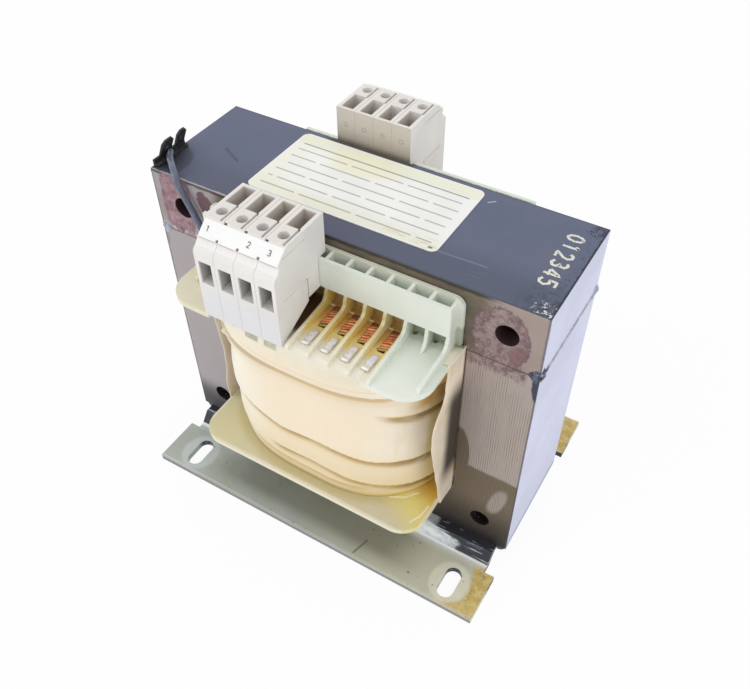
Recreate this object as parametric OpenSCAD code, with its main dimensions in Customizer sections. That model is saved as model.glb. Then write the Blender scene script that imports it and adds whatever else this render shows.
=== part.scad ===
// Open-frame control transformer on a welded EI core.
// X runs along the core's width, +Y to the back, +Z up; the origin is on the
// floor under the middle of the core. The back repeats the front about Y = 0.

/* [Core] */
// Width of an outer limb and of each yoke
limb_w = 25; // [21:0.5:30]
// Width of the centre limb, which carries the coil
centre_w = 50; // [42:1:60]
// Width of each winding window
window_w = 25; // [21:0.5:30]
// Height of each winding window
window_h = 75; // [62:1:90]
// Thickness of the stack of laminations
stack_d = 48.5; // [40:0.5:58]
// Diameter of the holes through the corners of the stack
bolt_hole_d = 7.8; // [5:0.1:9]
// Radius of the weld bead along each E to I joint
weld_r = 1.4; // [1:0.1:2]
// How far the weld bead stands out of the core's side
weld_proud = 0.5; // [0.3:0.1:0.8]
// Radius of the lump at each end of a weld bead
lump_r = 3.3; // [2.6:0.1:4]
// How far a lump stands out of the core
lump_proud = 1.1; // [0.6:0.1:1.4]

/* [Feet] */
// Height of the core's underside above the floor
foot_rise = 8; // [7:0.5:12]
// Thickness of the foot's sheet steel
foot_t = 3; // [2:0.1:3.5]
// How far each foot reaches out from the face of the core
foot_reach = 31; // [26:0.5:37]
// How far the foot runs past each side of the core
foot_overhang = 0.5; // [0:0.1:2]
// How far the raised part of the foot runs in under the core
foot_under = 15; // [10:0.5:20]
// Width of the raised ledge in front of the core
foot_ledge = 4.6; // [3:0.1:6]
// How much shorter the raised part is than the flange, at each end
foot_relief = 4.4; // [1:0.1:6]
// Distance between the slots along the core's width
slot_spacing_x = 123; // [108:1:130]
// Distance between the slots of the front and the rear foot
slot_spacing_y = 91; // [86:0.5:96]
// Overall length of a slot
slot_len = 13.5; // [10:0.5:15]
// Width of a slot
slot_w = 6.5; // [5:0.1:8]

/* [Coil former] */
// Wall of the former's tube
tube_t = 1.6; // [1:0.1:2.4]
// Thickness of the two flanges
flange_t = 2; // [1.5:0.1:2.5]
// How far the flanges reach out from the face of the core
flange_reach = 29.8; // [27:0.2:35]
// Corner radius of the flanges
flange_r = 10; // [6:0.5:14]
// How much higher the upper flange lies outside the core's windows
deck_step = 2; // [1:0.1:2]
// How far its edge is set back in the middle, for the winding's ends
edge_set_back = 2; // [1:0.1:5]
// Left end of that set-back
edge_x0 = -30; // [-36:0.5:-24]
// Right end of that set-back
edge_x1 = 28.5; // [22:0.5:32]
// Height of the carrier's back plate above the upper flange
carrier_h = 20.1; // [17:0.1:24]
// Wall of the carrier's plates
carrier_t = 1.4; // [1:0.1:1.8]
// Gap between the back plate and the front wall of the carrier
channel_w = 4; // [3.6:0.1:5]
// Height of the carrier's front wall
wall_h = 11.5; // [9:0.1:14]
// Distance between the ribs of the carrier
rib_pitch = 7.42; // [6.5:0.01:8.5]
// Thickness of a rib
rib_t = 1.2; // [0.8:0.1:1.6]
// Height of a rib above the upper flange where it comes out from under the wall
rib_rise = 3.3; // [2:0.1:4]
// Height of a rib above the upper flange at its outer end
rib_fall = 1.7; // [1:0.1:3]
// Radius of the hollow where a rib bends out of the wall
rib_bend_r = 2.6; // [2:0.1:4]
// Radius of the hollow of the one short rib
short_sweep_r = 4; // [3:0.5:8]
// Diameter of the pilot holes beside the two ribs at the right
pilot_hole_d = 1.8; // [1:0.1:2.4]
// Width of a slot for the winding's ends
lead_slot_w = 2.7; // [2:0.1:3.2]
// Length of a slot for the winding's ends
lead_slot_len = 11; // [8:0.5:13]

/* [Winding] */
// Half width of the winding across the windows
winding_hx = 45.2; // [43:0.1:46.5]
// How far the winding bulges out from the face of the core
winding_bulge = 24.6; // [21:0.2:26]
// Thickness of the tape round the winding
wrap_t = 1.2; // [0.8:0.1:1.5]
// Thickness of the pressboard sheet beside the winding
sheet_t = 0.6; // [0.4:0.1:0.8]

/* [Terminals] */
// Distance between two terminals
pole_pitch = 7.65; // [7:0.05:8.4]
// Gap between two neighbouring terminals
pole_gap = 0.1; // [0.05:0.05:0.3]
// Where the right-hand face of the row of terminals lies
pole_right_x = -0.2; // [-4:0.1:1]
// Height of a terminal above the carrier's front wall
pole_top = 15.3; // [13.5:0.1:17]
// How far a terminal reaches out from the front wall
pole_out = 22.7; // [21.5:0.1:25]
// How far a terminal's front face reaches down below the top of the front wall
pole_drop = 20; // [17:0.5:20.5]
// Width of the wire entry in a terminal's front
entry_w = 4.9; // [4.2:0.1:5.4]
// Height of the wire entry in a terminal's front
entry_h = 8.8; // [7.5:0.1:9.2]
// Clear depth of the wire entry, in front of the clamp
entry_depth = 9.6; // [8:0.1:10]
// Length of the opening in a terminal's top
top_open_len = 9.4; // [7:0.1:9.6]
// Depth of the opening in a terminal's top
top_open_depth = 11; // [8:0.5:12]
// Diameter of the screwdriver hole in a terminal's top
driver_hole_d = 3.8; // [3:0.1:4.2]

/* [Label and earth] */
// Length of the rating label on the top
label_len = 73; // [60:1:84]
// Width of the rating label on the top
label_w = 37; // [30:0.2:40]
// Width of the wide earth blade
blade_w = 5.8; // [4.8:0.1:6.4]
// Width of the narrow earth blade
narrow_blade_w = 4.7; // [2.8:0.1:4.8]
// Length of an earth blade above its strip
blade_len = 7.2; // [5:0.1:9]
// Lean of the blades towards the middle of the core
blade_lean = 24; // [0:1:35]
// Diameter of the earth lead
lead_d = 2.9; // [2.4:0.1:3]

/* [Hidden] */
$fn = 48;
eps = 0.05;
core_w = centre_w + 2 * window_w + 2 * limb_w;
face_y = stack_d / 2;
core_z = foot_rise;
window_z = core_z + limb_w;
joint_z = window_z + window_h;
core_top = joint_z + limb_w;
bolt_x = (core_w - limb_w) / 2;

// Former, between the core's window and the limb it sits on
former_gap = 0.6;
limb_gap = 0.4;
sheet_gap = 0.2;
tab_gap = 0.15;
tab_len = 8.6;
window_x = centre_w / 2 + window_w;
flange_hx = window_x - sheet_t - 2 * sheet_gap;
flange_y = face_y + flange_reach;
former_z = window_z + former_gap;
flange_top = joint_z - former_gap;
deck_z = flange_top + deck_step;
tube_hx = centre_w / 2 + limb_gap + tube_t;
tube_hy = face_y + limb_gap + tube_t;
winding_gap = 0.2;

// Carrier: its plates and ribs stand on the upper flange
plate_y = face_y + 0.35;
plate_hx = flange_hx - 0.5;
wall_y = plate_y + carrier_t + channel_w;
wall_top = deck_z + carrier_h - 0.5;
wall_bottom = wall_top - wall_h;
wall_hx = plate_hx - 1.7;
rib_first_x = wall_hx - rib_t / 2;
rib_count = floor(2 * wall_hx / rib_pitch) + 1;

// Slots and lugs lie in four of the bays between the ribs
slot_bays = [2, 3, 4, 5];
edge_r = 1.5;
slot_start = wall_y - 0.5;
lug_len = 7.2;
lug_t = 0.7;
lug_start = slot_start + lead_slot_len + 2.2;

// Terminals hang on the carrier's front wall
pole_y = wall_y + carrier_t;
pole_z = wall_top;
seat_gap = 0.15;
pole_w = pole_pitch - pole_gap;
pole_back = 4.1;
leg_drop = 11.4;
leg_out = 5.7;
foot_slant = 12.7;
strip_t = 0.85;
strip_len = 6.1;
strip_back = 6.8;
strip_angle = 39.8;
shoulder_drop = 7.2;
fin_t = 0.8;
groove_w = 0.9;
side_line = 0.3;
side_step = 1.1;
entry_low = 5.7;
clamp_t = 2.6;
driver_y = 11.1;
driver_depth = 8.6;
top_open_out = 6.5;

// Hand-cut pressboard sheets: the flap outside the core, as [out from the core's
// face, down from the sheet's top as a part of the window's height]
flap_right = [
    [11, 0], [11.2, -0.19], [16, -0.29], [18.3, -0.38], [18.2, -0.46],
    [15, -0.65], [7.8, -1.04], [2.8, -1.04]
];
flap_left = [
    [9.8, 0], [8.8, -0.42], [7.4, -0.62], [7.8, -0.78], [9.3, -0.86], [8.8, -1.03], [2.8, -1.03]
];

// Earth lead, from the blades' plate over the front edge and down into the carrier,
// as [right of the core's left side, out from its face, above its top]
lead_route = [
    [2, -9, 2.4], [3.8, -6.6, 2.5], [6.2, -4.2, 2.6], [9.2, -1.7, 2.5],
    [12, 0.6, 1.6], [13.9, 1.9, -0.8], [15.5, 2.1, -3.9], [17.1, 2.1, -7.4],
    [18.8, 2.1, -11], [20.4, 2.3, -14.2], [22, 2.8, -16.4], [24.2, 3.6, -17],
    [26.2, 3.75, -16], [28, 3.75, -14.3], [29.6, 3.75, -13.2], [31.3, 3.75, -13.2]
];

// A rectangle with rounded corners, centred on the origin
module rounded_rect(w, d, r) {
    square([w - 2 * r, d], center = true);
    square([w, d - 2 * r], center = true);
    for (x = [-1, 1], y = [-1, 1])
        translate([x * (w / 2 - r), y * (d / 2 - r)]) circle(r);
}

// A slot along Y, centred on the origin
module slot_shape(length, width) {
    square([width, length - width], center = true);
    for (y = [-1, 1]) translate([0, y * (length - width) / 2]) circle(d = width);
}

// Draws its children at the front, or mirrored at the back
module at_side(side) {
    if (side == "front") children();
    else mirror([0, 1, 0]) children();
}

// Extrudes an outline of [out, up] along X, out being away from the core's middle
module profile_along_x(x0, x1) {
    translate([x0, 0, 0]) rotate([90, 0, -90]) mirror([0, 0, 1])
        linear_extrude(x1 - x0) children();
}

// Extrudes an outline of [x, up] towards the front, from y0 to y1 away from the middle
module profile_along_y(y0, y1) {
    translate([0, -y0, 0]) rotate([90, 0, 0]) linear_extrude(y1 - y0) children();
}

// Points of an arc, from angle a0 to a1
function arc_points(c, r, a0, a1, n) =
    [for (i = [0:n]) let (a = a0 + (a1 - a0) * i / n) c + r * [cos(a), sin(a)]];

// The plan outline of the winding: a square with full sides
function bulged_outline(hx, hy, power, n) =
    [for (i = [0:n - 1]) let (a = 360 * i / n)
        [hx * sign(cos(a)) * pow(abs(cos(a)), 2 / power),
         hy * sign(sin(a)) * pow(abs(sin(a)), 2 / power)]];

module core_blank(z0, z1) {
    translate([-core_w / 2, -face_y, z0]) cube([core_w, stack_d, z1 - z0]);
}

module bolt_holes() {
    for (x = [-bolt_x, bolt_x], z = [core_z + limb_w / 2, core_top - limb_w / 2])
        translate([x, 0, z]) rotate([90, 0, 0])
            cylinder(d = bolt_hole_d, h = stack_d + 2, center = true);
}

module core_e_stack() {
    color("dimgray") difference() {
        core_blank(core_z, joint_z);
        for (x = [-1, 1])
            translate([x * (centre_w + window_w) / 2, 0, window_z + window_h / 2 + eps])
                cube([window_w, stack_d + 2, window_h + 2 * eps], center = true);
        bolt_holes();
    }
}

module core_i_yoke() {
    color("slategray") difference() {
        core_blank(joint_z, core_top);
        bolt_holes();
    }
}

// Weld along one joint, with a lump round the core's edge at each end
module weld_bead() {
    inset = lump_r - lump_proud;
    color("darkslategray") difference() {
        union() {
            translate([core_w / 2 + weld_proud - weld_r, 0, joint_z]) rotate([90, 0, 0])
                cylinder(r = weld_r, h = stack_d - 2 * inset, center = true);
            for (m = [0, 1]) mirror([0, m, 0])
                translate([core_w / 2 - inset, inset - face_y, joint_z - 0.5]) sphere(lump_r);
        }
        core_blank(core_z, core_top);
    }
}

// Z-section foot: ledge under the core, leaning riser, flange on the floor
module foot_profile() {
    lean = 2.4;
    ledge_y = face_y + foot_ledge;
    polygon(concat(
        [[face_y + foot_reach, 0], [face_y + foot_reach, foot_t]],
        arc_points([ledge_y + lean + 1.6, foot_t + 1], 1, 270, 205, 4),
        arc_points([ledge_y - 1, foot_rise - 1], 1, 25, 90, 4),
        [[face_y - foot_under, foot_rise], [face_y - foot_under, foot_rise - foot_t]],
        [[ledge_y - foot_t, foot_rise - foot_t], [ledge_y + lean - foot_t + 1, 0]]
    ));
}

module foot(side) {
    flange_len = core_w + 2 * foot_overhang;
    relief_y = face_y + foot_ledge + 5.8;
    color("lightslategray") at_side(side) difference() {
        profile_along_x(-flange_len / 2, flange_len / 2) foot_profile();
        for (x = [-1, 1]) {
            translate([x * flange_len / 2, -relief_y + 25, foot_rise / 2])
                cube([2 * foot_relief, 50, foot_rise + 1], center = true);
            translate([x * slot_spacing_x / 2, -slot_spacing_y / 2, -1])
                linear_extrude(foot_t + 2) slot_shape(slot_len, slot_w);
        }
    }
}

// Welds that hold the ends of a foot's raised part to the core's underside
module foot_welds(side) {
    bead_r = min(foot_relief - foot_overhang, foot_rise) * 0.9;
    end_x = core_w / 2 + foot_overhang - foot_relief;
    color("darkslategray") at_side(side) for (m = [0, 1]) mirror([m, 0, 0])
        profile_along_y(face_y - foot_under + 1, face_y - 0.5) intersection() {
            translate([end_x, foot_rise]) circle(bead_r);
            translate([end_x, foot_rise - bead_r - 1]) square(bead_r + 1);
        }
}

module limb_opening(height) {
    translate([0, 0, height / 2])
        cube([2 * (tube_hx - tube_t), 2 * (tube_hy - tube_t), height], center = true);
}

module flange_plate(z) {
    translate([0, 0, z]) difference() {
        linear_extrude(flange_t) rounded_rect(2 * flange_hx, 2 * flange_y, flange_r);
        translate([0, 0, -1]) limb_opening(flange_t + 2);
    }
}

// Centre of a bay between two ribs, counted from the right
function bay_x(bay) = rib_first_x - (bay + 0.5) * rib_pitch;

module lead_slots() {
    for (bay = slot_bays)
        translate([bay_x(bay), -slot_start - lead_slot_len / 2, deck_z - flange_t / 2])
            cube([lead_slot_w, lead_slot_len, flange_t + 1], center = true);
}

// The upper flange is set back between its two corner lobes
module edge_cut() {
    translate([(edge_x0 + edge_x1) / 2, -flange_y - edge_set_back, deck_z - flange_t - 1])
        linear_extrude(flange_t + 2) rounded_rect(edge_x1 - edge_x0, 4 * edge_set_back, edge_r);
}

// A rib ties the two plates, bends out from under the wall and runs along the flange
module carrier_rib(x, reach) {
    foot_y = wall_y + carrier_t;
    slope = (rib_rise - rib_fall) / rib_reach;
    bend_c = [foot_y + rib_bend_r + 0.3, deck_z + rib_rise + rib_bend_r];
    tip_c = [foot_y + reach - 1.3, deck_z + rib_rise - slope * reach - 1.3];
    profile_along_x(x - rib_t / 2, x + rib_t / 2) polygon(concat(
        [[plate_y + carrier_t / 2, deck_z], [plate_y + carrier_t / 2, wall_top - 0.3]],
        [[wall_y + carrier_t / 2, wall_top - 0.3], [wall_y + carrier_t / 2, wall_bottom]],
        arc_points(bend_c, rib_bend_r, 180, 264, 6),
        arc_points(tip_c, 1.3, 84, 0, 5),
        [[foot_y + reach, deck_z]]
    ));
}

// The short rib only sweeps down to the flange
module short_rib(x) {
    foot_y = wall_y + carrier_t;
    arc_c = [foot_y + short_sweep_r, deck_z + short_sweep_r];
    profile_along_x(x - rib_t / 2, x + rib_t / 2) polygon(concat(
        [[plate_y + carrier_t / 2, deck_z], [plate_y + carrier_t / 2, wall_top - 0.3]],
        [[wall_y + carrier_t / 2, wall_top - 0.3], [wall_y + carrier_t / 2, wall_bottom]],
        arc_points(arc_c, short_sweep_r, 180, 262, 9),
        [[foot_y + short_sweep_r, deck_z]]
    ));
}

module carrier_plate() {
    r = 3.5;
    translate([0, -plate_y, deck_z]) rotate([90, 0, 0]) linear_extrude(carrier_t) {
        translate([-plate_hx, 0]) square([2 * plate_hx, carrier_h - r]);
        translate([-plate_hx + r, 0]) square([2 * (plate_hx - r), carrier_h]);
        for (x = [-1, 1]) translate([x * (plate_hx - r), carrier_h - r]) circle(r);
    }
}

function rib_x(i) = rib_first_x - i * rib_pitch;

// How far a rib runs out: less at the flange's corner and under the terminals
rib_reach = flange_y - wall_y - carrier_t + 0.3;
function reach_of(i) = i == 0 ? rib_reach - 4.6 : rib_x(i) < pole_right_x ? rib_reach * 0.55 : rib_reach;

module carrier(side) {
    color("honeydew") at_side(side) {
        carrier_plate();
        translate([-wall_hx, -wall_y - carrier_t, wall_bottom]) cube([2 * wall_hx, carrier_t, wall_h]);
        for (i = [0:rib_count - 1]) {
            if (i == 1) short_rib(rib_x(i));
            else carrier_rib(rib_x(i), reach_of(i));
        }
    }
}

module former_tube() {
    z0 = former_z + flange_t;
    z1 = flange_top - flange_t;
    color("palegoldenrod") translate([0, 0, z0]) difference() {
        translate([-tube_hx, -tube_hy, 0]) cube([2 * tube_hx, 2 * tube_hy, z1 - z0]);
        translate([0, 0, -1]) limb_opening(z1 - z0 + 2);
    }
}

module former_lower_flange() {
    color("palegoldenrod") flange_plate(former_z);
}

// The upper flange: a plate in the windows, stepped up to a deck in front and behind
module former_upper_flange() {
    deck_y = face_y + limb_gap;
    color("palegoldenrod") difference() {
        union() {
            translate([-flange_hx, -step_y, flange_top - flange_t])
                cube([2 * flange_hx, 2 * step_y, flange_t]);
            difference() {
                flange_plate(deck_z - flange_t);
                translate([-core_w / 2, -deck_y, flange_top])
                    cube([core_w, 2 * deck_y, flange_t + deck_step]);
            }
        }
        translate([0, 0, flange_top - flange_t - 1]) limb_opening(flange_t + deck_step + 2);
        for (side = ["front", "rear"]) at_side(side) {
            lead_slots();
            edge_cut();
            for (i = [1, 2])
                translate([rib_x(i) + rib_t / 2 + 0.9, 1.8 - step_y, flange_top - flange_t - 1])
                    cylinder(d = pilot_hole_d, h = flange_t + deck_step + 2);
        }
    }
}

winding_z0 = former_z + flange_t + winding_gap;
winding_z1 = flange_top - flange_t - winding_gap;
head_z1 = deck_z - flange_t - winding_gap;
step_y = plate_y + carrier_t + 3;
winding_hy = face_y + winding_bulge;
bulge_power = 2.8;

module winding_ring(z0, z1, grow) {
    translate([0, 0, z0]) linear_extrude(z1 - z0) difference() {
        polygon(bulged_outline(winding_hx + grow, winding_hy + grow, bulge_power, 64));
        children();
    }
}

// Room for the upper flange's plate, above which only the coil's heads rise
module step_room() {
    half_y = step_y + winding_gap;
    translate([-core_w / 2, -half_y, winding_z1]) cube([core_w, 2 * half_y, flange_t + deck_step]);
}

module copper_winding() {
    color("chocolate") difference() {
        winding_ring(winding_z0, head_z1, 0)
            square([2 * (tube_hx + winding_gap), 2 * (tube_hy + winding_gap)], center = true);
        step_room();
    }
}

// Tape round the winding, in bands that overlap as they climb
module coil_wrap() {
    band = (head_z1 - winding_z0) / 4;
    color("wheat") difference() {
        for (i = [0:3])
            winding_ring(winding_z0 + i * band, winding_z0 + (i + 1) * band, wrap_t + 0.3 * (i % 2))
                polygon(bulged_outline(winding_hx + 0.1, winding_hy + 0.1, bulge_power, 64));
        step_room();
    }
}

// Tape folded up over the winding's ends, in the set-back of the upper flange
module lead_cover(side) {
    cover_gap = 0.15;
    y0 = winding_hy - 6;
    y1 = flange_y - edge_set_back;
    z0 = flange_top - 13;
    color("blanchedalmond") at_side(side) difference() {
        profile_along_x(edge_x0 + edge_r + cover_gap, edge_x1 - edge_r - cover_gap) polygon(concat(
            [[y0, z0], [winding_hy + wrap_t + 0.3, z0]],
            arc_points([y1 + 0.3, deck_z - 2], 1.6, 0, 90, 5),
            [[y1 + cover_gap, deck_z - 0.4], [y1 + cover_gap, deck_z - flange_t - cover_gap],
             [y0, deck_z - flange_t - cover_gap]]
        ));
        winding_ring(z0 - 1, head_z1 + cover_gap, wrap_t + 0.3 + cover_gap);
    }
}

module sheet_outline(flap) {
    top = deck_z + tab_gap + sheet_t;
    half = [for (p = flap) [face_y + p[0], top + p[1] * window_h]];
    mirrored = [for (i = [len(half) - 1:-1:0]) [-half[i][0], half[i][1]]];
    polygon(concat(half, mirrored));
}

module insulation_sheet(flap) {
    x0 = flange_hx + sheet_gap;
    tab_x = wall_hx + tab_gap;
    tab_y = plate_y + carrier_t + tab_gap;
    inside = stack_d + 2 * sheet_gap;
    color("moccasin") {
        difference() {
            profile_along_x(x0, x0 + sheet_t) sheet_outline(flap);
            translate([x0 - 1, -inside / 2, flange_top]) cube([4, inside, 10]);
            translate([x0 - 1, -inside / 2, window_z + sheet_gap - 50]) cube([4, inside, 50]);
        }
        for (side = ["front", "rear"]) at_side(side)
            translate([tab_x, -tab_y - tab_len, deck_z + tab_gap])
                cube([x0 + sheet_t - tab_x, tab_len, sheet_t]);
    }
}

function pole_x(i) = pole_right_x - (4.5 - i) * pole_pitch;

// Side outline of one terminal, measured from the front edge of the wall's top
module pole_profile() {
    seat_dir = [cos(strip_angle), -sin(strip_angle)];
    seat_top = [pole_out - strip_back - strip_t * sin(strip_angle), pole_top - strip_t * cos(strip_angle)];
    seat_end = seat_top + strip_len * seat_dir;
    polygon(concat(
        [[-pole_back, seat_gap], [-pole_back, pole_top]],
        [[seat_top[0] - 0.5, pole_top], [seat_top[0] - 0.5, seat_top[1] + 0.5 * tan(strip_angle)]],
        [seat_end, seat_end - [0.5, 0.9]],
        arc_points([pole_out - 2.4, pole_top - shoulder_drop - 2.4], 2.4, 70, 0, 5),
        [[pole_out, -pole_drop], [leg_out + 1, -foot_slant], [leg_out + 1, -leg_drop + 8]],
        [[leg_out + 0.5, -leg_drop + 8], [leg_out + 0.5, -leg_drop]],
        [[seat_gap, -leg_drop], [seat_gap, seat_gap]]
    ));
}

module pole_cavities() {
    entry_end = pole_out - entry_depth - clamp_t;
    translate([-entry_w / 2, -pole_out - 1, -entry_low])
        cube([entry_w, pole_out - entry_end + 1, entry_h]);
    translate([-entry_w / 2, -top_open_out, pole_top - top_open_depth])
        cube([entry_w, top_open_len, top_open_depth + 1]);
    translate([0, -driver_y, pole_top - driver_depth]) cylinder(d = driver_hole_d, h = driver_depth + 1);
    translate([pole_w / 2 - fin_t - groove_w, -pole_out + 7.8, pole_top - 2.4]) cube([groove_w, 8.6, 3]);
    translate([pole_w / 2 - side_line, -leg_out - 13.4, -leg_drop + 7.7]) cube([1, 12.6, 0.5]);
    translate([-pole_w / 2 - 1, strip_back - pole_out, pole_top]) rotate([strip_angle, 0, 0])
        translate([0, -strip_len, -3.4]) cube([1 + side_step, strip_len + 0.6, 5]);
    translate([pole_w / 2 - side_line, -pole_out + 5, pole_top - 3.4]) cube([1, 11.4, 0.5]);
}

module terminal_pole(side, i) {
    color("gainsboro") at_side(side) translate([pole_x(i), -pole_y, pole_z]) difference() {
        profile_along_x(-pole_w / 2, pole_w / 2) pole_profile();
        pole_cavities();
    }
}

module marker_strip(side) {
    top = [pole_out - strip_back, pole_top];
    length = 4 * pole_pitch - pole_gap;
    color("white") at_side(side)
        translate([pole_x(2.5) - length / 2, -pole_y - top[0], pole_z + top[1]])
            rotate([strip_angle, 0, 0]) translate([0, -strip_len, -strip_t + eps]) difference() {
                translate([side_step, 0, 0]) cube([length - side_step, strip_len - 0.1, strip_t - 2 * eps]);
                for (i = [1:3]) translate([i * pole_pitch, -1, -1]) cube([1, 1.9, strip_t + 2]);
            }
}

// One slotted screw at the bottom of each driver hole
module terminal_screws(side) {
    screw_d = driver_hole_d - 0.3;
    color("silver") at_side(side) for (i = [1:4])
        translate([pole_x(i), -pole_y - driver_y, pole_z + pole_top - driver_depth]) difference() {
            cylinder(d = screw_d, h = 2.4);
            translate([0, 0, 2.4]) cube([screw_d + 1, 0.7, 1.6], center = true);
        }
}

// One clamp cage at the back of each wire entry
module terminal_clamps(side) {
    clamp_gap = 0.15;
    w = entry_w - 2 * clamp_gap;
    h = entry_h - 2 * clamp_gap;
    color("silver") at_side(side) for (i = [1:4])
        translate([pole_x(i), -pole_y - pole_out + entry_depth, pole_z - entry_low + entry_h / 2])
            translate([-w / 2, 0, -h / 2]) difference() {
                cube([w, clamp_t - clamp_gap, h]);
                translate([w / 2, -1, h * 0.4]) rotate([-90, 0, 0])
                    cylinder(d = w - 1.2, h = clamp_t - 0.4);
            }
}

// Tinned ends of the winding, laid on the upper flange in front of their slots
module coil_lugs(side) {
    color("lightgray") at_side(side) for (bay = slot_bays)
        translate([bay_x(bay), -lug_start - lug_len / 2, deck_z + eps])
            linear_extrude(lug_t) slot_shape(lug_len, lead_slot_w - 0.2);
}

module rating_label() {
    label_edge = 2.3;
    color("ivory") translate([-4.2, face_y - label_edge - label_w / 2, core_top + eps])
        linear_extrude(0.25) rounded_rect(label_len, label_w, 2.5);
}

// Plate on the core's top left edge with two blades bent up from it
module earth_tab() {
    t = 0.8;
    strip_up = 2.2;
    widths = [blade_w, narrow_blade_w];
    starts = [3.2, 5.3 + blade_w];
    strip_y = blade_w + narrow_blade_w + 5.6;
    color("darkslategray") translate([-core_w / 2, 1.8 - face_y, core_top + eps]) {
        linear_extrude(t) {
            translate([0, 0.8]) square([2.6, strip_y - 1.6]);
            square([1.8, strip_y]);
            for (y = [0.8, strip_y - 0.8]) translate([1.8, y]) circle(0.8);
        }
        rotate([90, 0, 90]) linear_extrude(t) square([strip_y, strip_up]);
        for (i = [0, 1]) translate([0, starts[i], strip_up - 0.3]) rotate([0, blade_lean, 0])
            rotate([90, 0, 90]) linear_extrude(t) difference() {
                polygon([
                    [0, 0], [widths[i], 0], [widths[i], blade_len - 1.5],
                    [widths[i] - 1.3, blade_len], [1.3, blade_len], [0, blade_len - 1.5]
                ]);
                translate([widths[i] / 2, 3.3]) circle(d = 1.8);
            }
    }
}

// A round tube along a list of points
module swept_tube(path, r, sides) {
    last = len(path) - 1;
    rings = [for (i = [0:last])
        let (t = path[min(i + 1, last)] - path[max(i - 1, 0)],
             n = cross(t, [0, 1, 0]) / norm(cross(t, [0, 1, 0])),
             b = cross(t, n) / norm(cross(t, n)))
        for (k = [0:sides - 1]) path[i] + r * (cos(360 * k / sides) * n + sin(360 * k / sides) * b)];
    skin = [for (i = [0:last - 1], k = [0:sides - 1]) let (j = (k + 1) % sides)
        [i * sides + k, i * sides + j, (i + 1) * sides + j, (i + 1) * sides + k]];
    ends = [[for (k = [sides - 1:-1:0]) k], [for (k = [0:sides - 1]) last * sides + k]];
    polyhedron(rings, concat(skin, ends));
}

module earth_lead() {
    path = [for (p = lead_route) [p[0] - core_w / 2, -face_y - p[1], core_top + p[2]]];
    color("steelblue") swept_tube(path, lead_d / 2, 10);
}

core_e_stack();
core_i_yoke();
weld_bead();  // weld_right
mirror([1, 0, 0]) weld_bead();  // weld_left
foot("front");  // foot_front
foot("rear");  // foot_rear
foot_welds("front");  // foot_welds_front
foot_welds("rear");  // foot_welds_rear
former_tube();
former_lower_flange();
former_upper_flange();
carrier("front");  // carrier_front
carrier("rear");  // carrier_rear
copper_winding();
coil_wrap();
insulation_sheet(flap_right);  // insulation_right
mirror([1, 0, 0]) insulation_sheet(flap_left);  // insulation_left
for (i = [1:4]) terminal_pole("front", i);
for (i = [1:4]) terminal_pole("rear", i);
marker_strip("front");  // marker_strip_front
marker_strip("rear");  // marker_strip_rear
terminal_screws("front");  // terminal_screws_front
terminal_screws("rear");  // terminal_screws_rear
terminal_clamps("front");  // terminal_clamps_front
terminal_clamps("rear");  // terminal_clamps_rear
coil_lugs("front");  // coil_lugs_front
coil_lugs("rear");  // coil_lugs_rear
lead_cover("front");  // lead_cover_front
lead_cover("rear");  // lead_cover_rear
rating_label();
earth_tab();
earth_lead();
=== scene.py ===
import math

import bmesh
import bpy
from bpy.props import FloatProperty, FloatVectorProperty, PointerProperty
from bpy.types import Operator, Panel, PropertyGroup
from mathutils import Matrix, Vector, noise


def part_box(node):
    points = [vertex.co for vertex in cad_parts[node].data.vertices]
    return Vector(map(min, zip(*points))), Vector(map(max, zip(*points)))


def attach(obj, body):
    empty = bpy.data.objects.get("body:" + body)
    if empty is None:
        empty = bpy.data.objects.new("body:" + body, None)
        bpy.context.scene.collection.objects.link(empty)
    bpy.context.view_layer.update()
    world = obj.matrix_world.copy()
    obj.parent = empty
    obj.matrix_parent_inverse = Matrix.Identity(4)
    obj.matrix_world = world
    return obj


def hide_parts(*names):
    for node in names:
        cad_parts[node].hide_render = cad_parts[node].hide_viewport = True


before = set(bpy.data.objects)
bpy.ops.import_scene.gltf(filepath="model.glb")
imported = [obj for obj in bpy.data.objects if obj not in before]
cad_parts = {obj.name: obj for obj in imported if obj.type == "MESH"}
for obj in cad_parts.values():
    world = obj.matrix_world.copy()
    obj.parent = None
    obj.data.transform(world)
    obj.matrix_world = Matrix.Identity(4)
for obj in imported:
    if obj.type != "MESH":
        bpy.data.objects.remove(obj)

bl_info = {
    "name": "Control Transformer",
    "version": (1, 0, 0),
    "blender": (4, 5, 0),
    "location": "3D View > Sidebar > Transformer",
    "description": "Finishes an open-frame control transformer around its packed frame",
    "category": "Object",
}

MM = 0.001
SIDES = {"front": -1, "rear": 1}


def paint(red, green, blue):
    """A colour as it looks on a screen, from 0 to 255, turned into light values."""
    def light(value):
        value /= 255
        return value / 12.92 if value <= 0.04045 else ((value + 0.055) / 1.055) ** 2.4
    return (light(red), light(green), light(blue), 1.0)


def span(node):
    """Lowest and highest corners of a CAD node, in millimetres."""
    low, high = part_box(node)
    return low / MM, high / MM


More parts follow.
